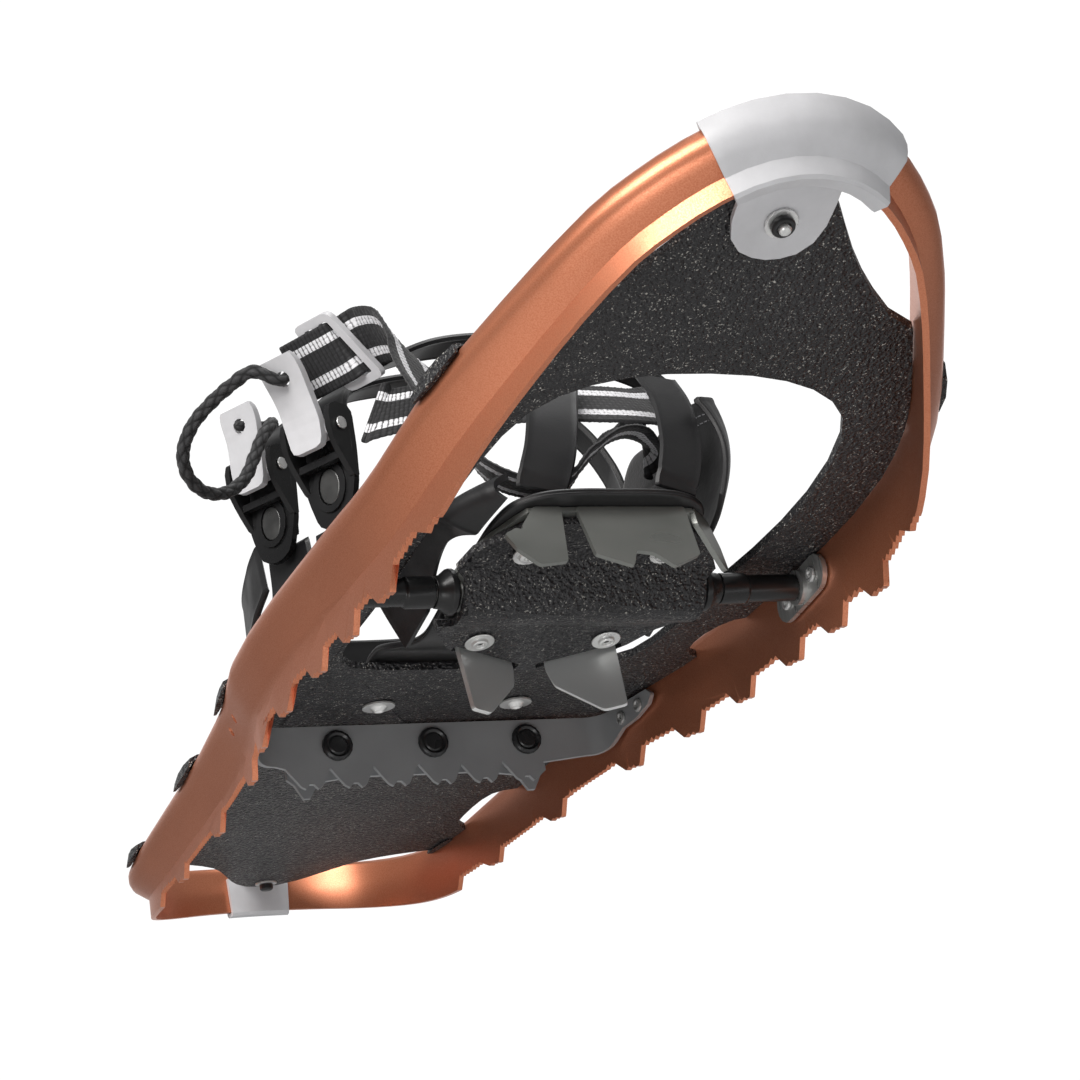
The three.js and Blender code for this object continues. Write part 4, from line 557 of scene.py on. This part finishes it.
def braid_cord():
    n, around, r = 620, 40, 2.36
    pts, length = spaced(CORD, n)
    T = [(pts[min(n, i + 1)] - pts[max(0, i - 1)]).normalized() for i in range(n + 1)]
    nrm = T[0].orthogonal().normalized()
    verts, faces, crown = [], [], []
    for i in range(n + 1):
        nrm = (nrm - T[i] * nrm.dot(T[i])).normalized()
        b = T[i].cross(nrm)
        s = i / n * length
        e = min(s, length - s)
        endk = math.sqrt(max(0.02, 1 - max(0.0, 1 - e / r) ** 2))
        rad = r + 0.42 * min(1.0, max(0.0, (e - 9.0) / 8.0))
        for j in range(around):
            a = j / around * 2 * math.pi
            u, v = 4 * a + s * 2 * math.pi / 7.4, 4 * a - s * 2 * math.pi / 7.4
            h = abs(math.sin(u / 2)) * abs(math.sin(v / 2))
            rr = (rad - 0.55 + 0.62 * h ** 0.6) * endk
            # crown height: also drives the painted shade in the braid's grooves
            crown.append(h)
            verts.append(pts[i] + nrm * (rr * math.cos(a)) + b * (rr * math.sin(a)))
    for i in range(n):
        for j in range(around):
            a, c = i * around + j, i * around + (j + 1) % around
            faces.append((a, c, c + around, a + around))
    faces.append(tuple(range(around - 1, -1, -1)))
    faces.append(tuple(range(n * around, (n + 1) * around)))
    o = new_mesh("braided_cord", [P(*v) for v in verts], faces, CORDM, "lever_front", 75.0, None, crown)
    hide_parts("pull_cord")
    path = [P(*q) for q in pts[::4]]
    tuple(path[0])
    [tuple(q) for q in path]
    return o


braid_cord()

# ------------------------------------------------------------------ straps


def lerp3(a, b, t):
    t = min(1.0, max(0.0, t))
    return Vector(a).lerp(Vector(b), t)


TILT = math.radians(12.0)


def hang(p):
    x, y, z = p
    return Vector((x, y * math.cos(TILT) - z * math.sin(TILT) + 107.0, y * math.sin(TILT) + z * math.cos(TILT) + 24.0))


def bp(C, w, o, z):
    return C + PIN * w + OUT * o + Vector((0, 0, z))


for nm, path, wide, sd in (("right", [(27.0, 45.2, 14.0), (26.2, 46.2, 17.4), (25, 47, 20), (20.7, 47.5, 30), (16.1, 46, 43.4), (11.3, 42, 58), (6.4, 37, 71.2)], 20, (1, 0, 0)),
                           ("left", [(-26.8, 45.2, 14.0), (-27.6, 46.2, 17.4), (-28.8, 47, 20), (-32.4, 47.5, 30), (-35.4, 46, 44.2), (-37.6, 42, 58.9), (-37.6, 36, 74)], 18.5, (0.98, 0.2, 0))):
    strap("toe_band_" + nm, [hang(q) for q in path], wide, 1.9, lambda t, sd=sd: sd, "binding", TPU, ["toe_strap_" + nm], n=80, rim=0.3)

side2 = lambda t: lerp3((0.2, 1, 0), PIN, (t - 0.42) / 0.3)
strap("instep_band", [(-71.2, 84, 84), (-70.8, 82, 104), (-61.5, 78, 124), (-34, 72, 138), (-4, 66, 146), (28, 60, 146), (52, 55, 138), (63, 52, 131), bp(C1, 0, -10.4, 14), bp(C1, 0, -10, -8), bp(C1, 0, -10, -28)],
      19, 2.2, side2, "binding", TPU, ["instep_strap"], n=150, rim=0.25, ribs=(3.2, 0.28))
strap("ankle_band", [(-67, 22, 92), (-65, 16, 112), (-56, 8, 134), (-34, -2, 154), (-4, -10, 164), (28, -16, 163), (52, -20, 154), (63, -23, 147), bp(C2, 0, -10.4, 14), bp(C2, 0, -10, -8), bp(C2, 0, -10, -28)],
      19, 2.2, side2, "binding", TPU, ["ankle_strap"], n=150, rim=0.25, ribs=(3.2, 0.28))
strap("instep_skirt", [bp(C1, -4, -11.8, -33.5), bp(C1, -4, -12.4, -43), (71, 57, 52), (68, 59, 44), (67, 59, 39)], lambda t: 30 + 6 * t, 2.2, lambda t: (-0.35, 1, 0), "binding", TPU, ["instep_panel"], n=60, rim=0.3)
strap("ankle_skirt", [bp(C2, 2, -11, -31.2), bp(C2, 2, -11.8, -46), (73, -6, 64), (71, 4, 56), (69.3, 9, 51.5)], lambda t: 28 + 9 * t, 2.2, lambda t: (-0.35, 1, 0), "binding", TPU, ["ankle_panel"], n=60, rim=0.3)
strap("heel_band", [(75.2, -38, 91), (74.5, -58, 86), (66, -96, 80), (42, -128, 78), (0, -138, 78), (-42, -128, 78), (-64, -96, 80), (-70, -58, 84), (-70.5, -22, 88), (-69.5, 0, 84)],
      lambda t: 24 + 6 * math.sin(math.pi * t), 2.4, lambda t: (0, 0, 1), "binding", TPU, ["heel_strap"], n=160, rim=0.35)

D1, D2, BC = Vector((-0.61, 0, -0.79)).normalized(), Vector((-0.46, 0.89, 0)).normalized(), Vector((71, 78, 136))
BN = D1.cross(D2).normalized()


def wb(b, c):
    return BC + D2 * b + BN * c


def turn(dirs):
    def f(t):
        i = 0
        while i < len(dirs) - 2 and dirs[i + 1][0] < t:
            i += 1
        (t0, a), (t1, b) = dirs[i], dirs[i + 1]
        return lerp3(a, b, (t - t0) / (t1 - t0))
    return f


cw, cw_len = woven("cross_strap", [wb(-22, 4.6), wb(-13, 3.7), wb(-5, 3.2), wb(0.4, 3.1), wb(3.1, 2.0), wb(4.1, -0.6), wb(5.4, -3.3), wb(9, -6), (58, 94, 136), (54, 104, 124), (53, 113.6, 104), (49, 120.4, 85), (42.6, 126.6, 69), (37, 131, 60.5), (29, 133.6, 55.6), (19, 134.2, 54), (9.4, 133.6, 57.5), (-1, 132, 67), (-10.9, 130, 75), (-21.8, 124, 80.2), (-33.6, 114, 82.5), (-40.6, 103, 84)],
      25, 1.3, turn([(0, (0.61, 0, 0.79)), (0.3, (0.61, 0, 0.79)), (0.5, (0.5, 0.45, 0.3)), (0.62, (0.372, 0.914, -0.05)), (0.8, (0.384, 0.858, -0.3)), (1, (0.5, 0.8, -0.3))]), "binding", ["cross_webbing"])
tw, tw_len = woven("toe_strap_woven", [(62, 80, 109), (59.5, 85, 106.5), (48, 94.4, 105), (34, 107.4, 100.6), (20, 120, 95.5), (6, 126, 92.8), (-8, 127.6, 92), (-22, 126.6, 92.2), (-34, 123, 93), (-42, 118, 94.5), (-46.5, 111, 95.5)],
      25, 1.3, turn([(0, (0.1, -0.5, 0.83)), (0.5, (0.1, -0.56, 0.83)), (0.85, (0.2, -0.5, 0.8)), (1, (0.3, -0.3, 0.9))]), "binding", ["toe_webbing"])
print("strap lengths, mm:", round(cw_len * 0.92, 1), round(tw_len * 0.92, 1))

# ------------------------------------------------------------------ wings, padding and foot bed
BED = 6.6 + 2.0 + 0.33
LEATHER = make_black("wing_leather", 0.011, (0.40, 0.56), 520.0, 0.00016)
BEDM = make_black("bed_tpu", 0.011, (0.32, 0.46), 760.0, 0.00010)
THREAD = make_black("thread", 0.16, (0.55, 0.7), 2600.0, 0.00004)


def wing_at(sg, yf, yr, top, bulge, lift=0.0):
    def f(u, v):
        y = yf + (yr - yf) * u
        front = max(0.0, 1 - u * 3.2)
        x = (46.6 + 2.5 * u) + bulge * math.sin(min(1.0, v * 1.05) * 1.9) - front * front * (5 + 14 * v)
        return Vector((sg * x, y + v * (front * -3 + 2), BED + 0.95 + v * top(u) + (1 - v) * lift * max(0.0, math.sin((u - 0.2) / 0.55 * math.pi))))
    return f


def normal_at(f, u, v):
    e = 1e-3
    du = f(min(1, u + e), v) - f(max(0, u - e), v)
    dv = f(u, min(1, v + e)) - f(u, max(0, v - e))
    return du.cross(dv).normalized()


def skin(name, f, nu, nv, out, inn, mat, replaces):
    """A closed shell around the surface f: out(u, v) and inn(u, v) are the offsets of its two faces along the normal."""
    A, B, faces = [], [], []
    for i in range(nu + 1):
        for j in range(nv + 1):
            u, v = i / nu, j / nv
            q, nrm = f(u, v), normal_at(f, u, v)
            A.append(P(*hang(q + nrm * out(u, v))))
            B.append(P(*hang(q + nrm * inn(u, v))))
    M = len(A)
    d = lambda i, j, k: k * M + i * (nv + 1) + j
    for i in range(nu):
        for j in range(nv):
            faces.append((d(i, j, 0), d(i, j + 1, 0), d(i + 1, j + 1, 0), d(i + 1, j, 0)))
            faces.append((d(i, j, 1), d(i + 1, j, 1), d(i + 1, j + 1, 1), d(i, j + 1, 1)))
    for i in range(nu):
        faces.append((d(i, 0, 0), d(i + 1, 0, 0), d(i + 1, 0, 1), d(i, 0, 1)))
        faces.append((d(i, nv, 0), d(i, nv, 1), d(i + 1, nv, 1), d(i + 1, nv, 0)))
    for j in range(nv):
        faces.append((d(0, j, 0), d(0, j, 1), d(0, j + 1, 1), d(0, j + 1, 0)))
        faces.append((d(nu, j, 0), d(nu, j + 1, 0), d(nu, j + 1, 1), d(nu, j, 1)))
    verts = A + B
    vol = 0.0
    for fc in faces:
        a = verts[fc[0]]
        for k in range(1, len(fc) - 1):
            vol += a.dot(verts[fc[k]].cross(verts[fc[k + 1]]))
    if vol < 0:
        faces = [tuple(reversed(fc)) for fc in faces]
    o = new_mesh(name, verts, faces, mat, "binding", 60.0)
    bv = o.modifiers.new("bevel", "BEVEL")
    bv.width, bv.segments, bv.limit_method, bv.angle_limit = 0.0007, 3, "ANGLE", math.radians(50)
    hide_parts(*replaces)
    return o


def bump01(t, c, w):
    return math.exp(-((t - c) / w) ** 2)


def edge(u, v):
    return min(u, 1 - u, v, 1 - v)


def stitches(name, curves, r=0.34, step=4.0, dash=2.7):
    """Rows of short thread dashes lying on a surface. Each curve is a list of (point, normal)."""
    verts, faces = [], []
    for cur in curves:
        s, nxt = 0.0, 1.5
        for (a, na), (b, nb) in zip(cur, cur[1:]):
            L = (b - a).length
            while s + L > nxt:
                q = a.lerp(b, (nxt - s) / L)
                T = (b - a).normalized()
                N = (na - T * na.dot(T)).normalized()
                S = T.cross(N)
                base = len(verts)
                for k, (along, rad) in enumerate(((-dash / 2, 0.25), (-dash / 2 + 0.3, 0.85), (0, 1.0), (dash / 2 - 0.3, 0.85), (dash / 2, 0.25))):
                    for m_ in range(8):
                        a_ = m_ / 8 * 2 * math.pi
                        verts.append(P(*hang(q + T * along + N * (r * 0.55 * rad * math.sin(a_) + 0.12 * (1 if 0 < k < 4 else -0.6)) + S * (r * rad * math.cos(a_)))))
                for k in range(4):
                    for m_ in range(8):
                        c0, c1 = base + k * 8 + m_, base + k * 8 + (m_ + 1) % 8
                        faces.append((c0, c1, c1 + 8, c0 + 8))
                faces.append(tuple(range(base + 7, base - 1, -1)))
                faces.append(tuple(range(base + 32, base + 40)))
                nxt += step
            s += L
    o = new_mesh(name, verts, faces, THREAD, "binding", 60.0)
    return o


MED = wing_at(-1, 50, -50, lambda u: 44 + 34 * math.sin(min(1, u * 1.5) * 1.4), 16.5)
LAT = wing_at(1, 47, -54, lambda u: 9 + 53 * math.sin(min(1, max(0, u - 0.2) * 1.4) * 1.45), 12, 12)
for nm, f, th, tag in (("medial_shell", MED, 2.3, "wing_medial"), ("lateral_shell", LAT, -2.3, "wing_lateral")):
    sgn = 1.0 if th > 0 else -1.0
    swell = lambda u, v: 0.42 * (bump01(v, 0.965, 0.018) + bump01(u, 0.03, 0.014) + bump01(u, 0.97, 0.014)) * (1.0 if v > 0.05 else 0.0) + 0.14 * bump01(v, 0.88, 0.012)
    skin(nm, f, 96, 64, lambda u, v: -sgn * swell(u, v), lambda u, v: th + sgn * 0.4 * swell(u, v), LEATHER, [tag])
rows = []
for f, sgn in ((MED, -1.0), (LAT, 1.0)):
    for v in (0.90, 0.85):
        rows.append([(f(u, v) + normal_at(f, u, v) * sgn * 0.06, normal_at(f, u, v) * sgn) for u in [0.07 + 0.86 * k / 80 for k in range(81)]])
    rows.append([(f(0.07, v) + normal_at(f, 0.07, v) * sgn * 0.06, normal_at(f, 0.07, v) * sgn) for v in [0.12 + 0.72 * k / 40 for k in range(41)]])
stitches("wing_stitching", rows)


def lining(u, v):
    y = 10 - 58 * u
    x = -(41.4 + 14.0 * math.sin(min(1, (0.16 + v * 0.74) * 1.05) * 1.9)) + 2.2 * math.cos((u - 0.5) * math.pi)
    return Vector((x - 1.0, y, BED + 8 + v * 62 * (0.66 + 0.34 * math.sin(u * 2.6))))


def puff(u, v):
    e = edge(u, v)
    k = 1.0 if e > 0.10 else math.sqrt(max(0.0, 1 - (1 - e / 0.10) ** 2))
    quilt = 0.55 * max(bump01(v, 0.34, 0.012), bump01(v, 0.67, 0.012))
    return k, quilt


o = skin("medial_lining", lining, 72, 60, lambda u, v: -1.0 - 0.2 * (1 - puff(u, v)[0]), lambda u, v: -1.2 - 3.0 * puff(u, v)[0] + puff(u, v)[1] * puff(u, v)[0], PAD, ["medial_pad"])

HALF = [(0, 50.5), (14, 50.5), (26, 49), (33, 46), (38.5, 41), (42, 30), (43.5, 10), (44.4, -20), (45, -50), (46, -66), (48, -80), (48, -95), (45, -112), (34, -124), (18, -128), (0, -129)]
PADH = [(x * 0.9, y * 0.8 if y > 0 else y) for x, y in HALF if y > -40] + [(39.5, -33), (36, -41), (24, -43), (0, -43)]
FLEX = [(-140, 31.5), (-130, 29.4), (-100, 23.0), (-94, 21.6), (-88, 19.6), (-80, 15.4), (-70, 10.0), (-58, 4.0), (-50, 1.0), (-44, 0), (70, 0)]


def flex(y):
    s_ = 0.0
    for k in (-2, -1, 0, 1, 2):
        yy = min(69.9, max(-139.9, y + k * 1.5))
        for (a, b), (c, d) in zip(FLEX, FLEX[1:]):
            if a <= yy <= c:
                s_ += b + (d - b) * (yy - a) / (c - a)
                break
    return s_ / 5


def loop_of(half, n):
    pts = [Vector((x, y, 0)) for x, y in half] + [Vector((-x, y, 0)) for x, y in half[-2:0:-1]]
    wrap = pts[-2:] + pts + pts[:2]
    d = spline(wrap, 24)
    d = d[2 * 24:(2 + len(pts)) * 24 + 1]
    s = [0.0]
    for a, b in zip(d, d[1:]):
        s.append(s[-1] + (b - a).length)
    out, j = [], 0
    for i in range(n):
        want = s[-1] * i / n
        while s[j + 1] < want:
            j += 1
        out.append(d[j].lerp(d[j + 1], (want - s[j]) / max(1e-9, s[j + 1] - s[j])))
    return out


def slab(name, half, z0, thick, centre, mat, replaces, prof, tops, bend=False, n=220):
    """A moulded plate: prof is the side wall as (inset, height share), tops(r, x, y) the relief of the upper face."""
    loop = loop_of(half, n)
    verts, faces = [], []
    C = Vector(centre)

    def put(q, z):
        verts.append(P(*hang((q.x, q.y, z0 + z + (flex(q.y) if bend else 0.0)))))

    rs = [0.12, 0.3, 0.48, 0.64, 0.78, 0.88, 0.94]
    rings = [("b", r) for r in rs] + [("s", k) for k in range(len(prof))] + [("t", r) for r in reversed(rs)]
    for kind, k in rings:
        for i, q in enumerate(loop):
            if kind == "s":
                inset, hz = prof[k]
                a, b = loop[i - 1], loop[(i + 1) % n]
                nrm = Vector((b.y - a.y, a.x - b.x, 0)).normalized()
                if nrm.dot(q - C) < 0:
                    nrm = -nrm
                put(q - nrm * inset, hz * thick)
            else:
                w = C.lerp(q, k)
                put(w, 0.0 if kind == "b" else thick + tops(k, w.x, w.y))
    for a in range(len(rings) - 1):
        for i in range(n):
            c0, c1 = a * n + i, a * n + (i + 1) % n
            faces.append((c0, c1, c1 + n, c0 + n))
    verts.append(P(*hang((C.x, C.y, z0 + (flex(C.y) if bend else 0)))))
    verts.append(P(*hang((C.x, C.y, z0 + thick + (flex(C.y) if bend else 0)))))
    for i in range(n):
        faces.append((len(verts) - 2, (i + 1) % n, i))
        t0 = (len(rings) - 1) * n
        faces.append((len(verts) - 1, t0 + i, t0 + (i + 1) % n))
    vol = 0.0
    for fc in faces:
        a = verts[fc[0]]
        for k in range(1, len(fc) - 1):
            vol += a.dot(verts[fc[k]].cross(verts[fc[k + 1]]))
    if vol < 0:
        faces = [tuple(reversed(fc)) for fc in faces]
    o = new_mesh(name, verts, faces, mat, "binding", 50.0)
    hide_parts(*replaces)
    return o


rim_prof = [(0.7, 0.0), (0.2, 0.06), (0.0, 0.14), (-0.22, 0.24), (-0.22, 0.30), (0.05, 0.38), (0.05, 0.54), (-0.22, 0.62), (-0.22, 0.68), (0.05, 0.78), (0.1, 0.88), (0.35, 0.96), (0.9, 1.0)]
slab("foot_bed_moulded", HALF, BED, 3.2, (0, -39, 0), BEDM, ["foot_bed"], rim_prof, lambda r, x, y: 0.0, bend=True)
o = slab("foot_bed_pad", PADH, BED + 3.2 + 0.33, 2.2, (0, 0, 0), PAD, ["foot_pad"], [(0.5, 0.0), (0.1, 0.12), (0.0, 0.35), (0.15, 0.62), (0.6, 0.86), (1.4, 1.0)], lambda r, x, y: 0.12 * math.sin(x * 0.9) * math.sin(y * 0.9))

# ------------------------------------------------------------------ rear rivets of the crampon cover: washer, collar and socket, turned finely; the socket floor is painted near black as painted shade
SOCKET_SHADE = make_black("rivet_socket_painted_shade", 0.006, (0.45, 0.6))


def rivet(name, centre, node, depth):
    prof = [(0.0, 1.25), (1.35, 1.25), (1.5, 1.4), (1.62, 2.35), (1.9, 2.65), (2.35, 2.72), (2.95, 2.6), (3.2, 2.3), (3.3, 1.55), (3.5, 1.28), (3.9, 1.22), (5.2, 1.45), (5.65, 1.42), (5.86, 1.2), (5.86, 0.85), (1.9, 0.85), (1.9, -depth), (0.0, -depth)]
    n = 64
    verts, faces, mats = [], [], []
    for r, h in prof:
        for k in range(n):
            a = 2 * math.pi * k / n
            verts.append(P(*hang((centre[0] + r * math.cos(a), centre[1] + r * math.sin(a), centre[2] - h))))
    for a in range(len(prof) - 1):
        for k in range(n):
            c0, c1 = a * n + k, a * n + (k + 1) % n
            if prof[a][0] == 0.0:
                faces.append((c0, c0 + n, c1 + n))
            elif prof[a + 1][0] == 0.0:
                faces.append((c0, c0 + n, c1))
            else:
                faces.append((c0, c0 + n, c1 + n, c1))
            # the socket floor faces take the near-black material: painted shade in the socket
            mats.append(1 if prof[a + 1][0] < 1.55 and a < 3 else 0)
    o = new_mesh(name, verts, faces, FAST, "binding", 40.0)
    o.data.materials.append(SOCKET_SHADE)
    for pl, mi in zip(o.data.polygons, mats):
        pl.material_index = mi
    w = o.modifiers.new("weld", "WELD")
    w.merge_threshold = 1e-6
    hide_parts(node)
    return o


rivet("rivet_rear_right_turned", (26.6, -39.4, 3.04), "cover_rivet_rear_right", 4.4)
rivet("rivet_rear_left_turned", (-26.6, -39.4, 3.04), "cover_rivet_rear_left", 4.4)

# ------------------------------------------------------------------ stage: pale floor, world and soft lights
me = bpy.data.meshes.new("floor")
me.from_pydata([(-6, -6, 0), (6, -6, 0), (6, 6, 0), (-6, 6, 0)], [], [(0, 1, 2, 3)])
floor = bpy.data.objects.new("floor", me)
floor.location = (0, 0, cad_box[0][2] - 0.9)
bpy.context.scene.collection.objects.link(floor)
fm = Mat("floor_pale")
fm.set(Roughness=0.9)
fm.colour(fm.ramp(fm.noise(2.0), [(0.3, (0.80, 0.80, 0.80)), (0.7, (0.83, 0.83, 0.83))]))
me.materials.append(fm.m)

world = bpy.data.worlds.new("world")
bpy.context.scene.world = world
world.use_nodes = True
wt = world.node_tree
bg = wt.nodes["Background"]
tc = wt.nodes.new("ShaderNodeTexCoord")
sep = wt.nodes.new("ShaderNodeSeparateXYZ")
wt.links.new(tc.outputs["Generated"], sep.inputs[0])
mr = wt.nodes.new("ShaderNodeMapRange")
mr.inputs["From Min"].default_value = -0.25
mr.inputs["From Max"].default_value = 0.22
mr.inputs["To Min"].default_value = 0.09
mr.inputs["To Max"].default_value = 0.30
wt.links.new(sep.outputs["Z"], mr.inputs["Value"])
bg.inputs["Color"].default_value = (1.0, 1.0, 1.0, 1.0)
dot = wt.nodes.new("ShaderNodeVectorMath")
dot.operation = "DOT_PRODUCT"
dot.inputs[1].default_value = FWD
wt.links.new(tc.outputs["Generated"], dot.inputs[0])
cone = wt.nodes.new("ShaderNodeMapRange")
for nm, v in (("From Min", 0.80), ("From Max", 0.955), ("To Min", 0.0), ("To Max", 1.06)):
    cone.inputs[nm].default_value = v
wt.links.new(dot.outputs["Value"], cone.inputs["Value"])
top = wt.nodes.new("ShaderNodeMath")
top.operation = "MAXIMUM"
wt.links.new(mr.outputs["Result"], top.inputs[0])
wt.links.new(cone.outputs["Result"], top.inputs[1])
wt.links.new(top.outputs[0], bg.inputs["Strength"])

TARGET = P(0, 0, 60)


def area(name, offset, size, watts, colour=(1, 1, 1)):
    d = bpy.data.lights.new(name, "AREA")
    d.shape = "RECTANGLE"
    d.size, d.size_y = size
    d.energy = watts
    d.color = colour
    o = bpy.data.objects.new(name, d)
    o.location = TARGET + offset
    o.rotation_euler = (-offset).to_track_quat("-Z", "Y").to_euler()
    bpy.context.scene.collection.objects.link(o)
    return o


up, left, back = -DOWN, -RIGHT, -FWD
area("key", (up * 0.9 + left * 0.7 + back * 0.9).normalized() * 1.5, (0.9, 0.9), 25, (1.0, 0.98, 0.96))
area("fill", (-up * 0.5 - left * 0.9 + back * 0.9).normalized() * 1.7, (1.2, 0.8), 5, (0.97, 0.98, 1.0))
area("near", (back * 1.0 - up * 0.35 + left * 0.1).normalized() * 1.6, (0.6, 0.6), 7)
area("top", (up * 1.0 - back * 0.3).normalized() * 1.6, (1.2, 0.6), 9)
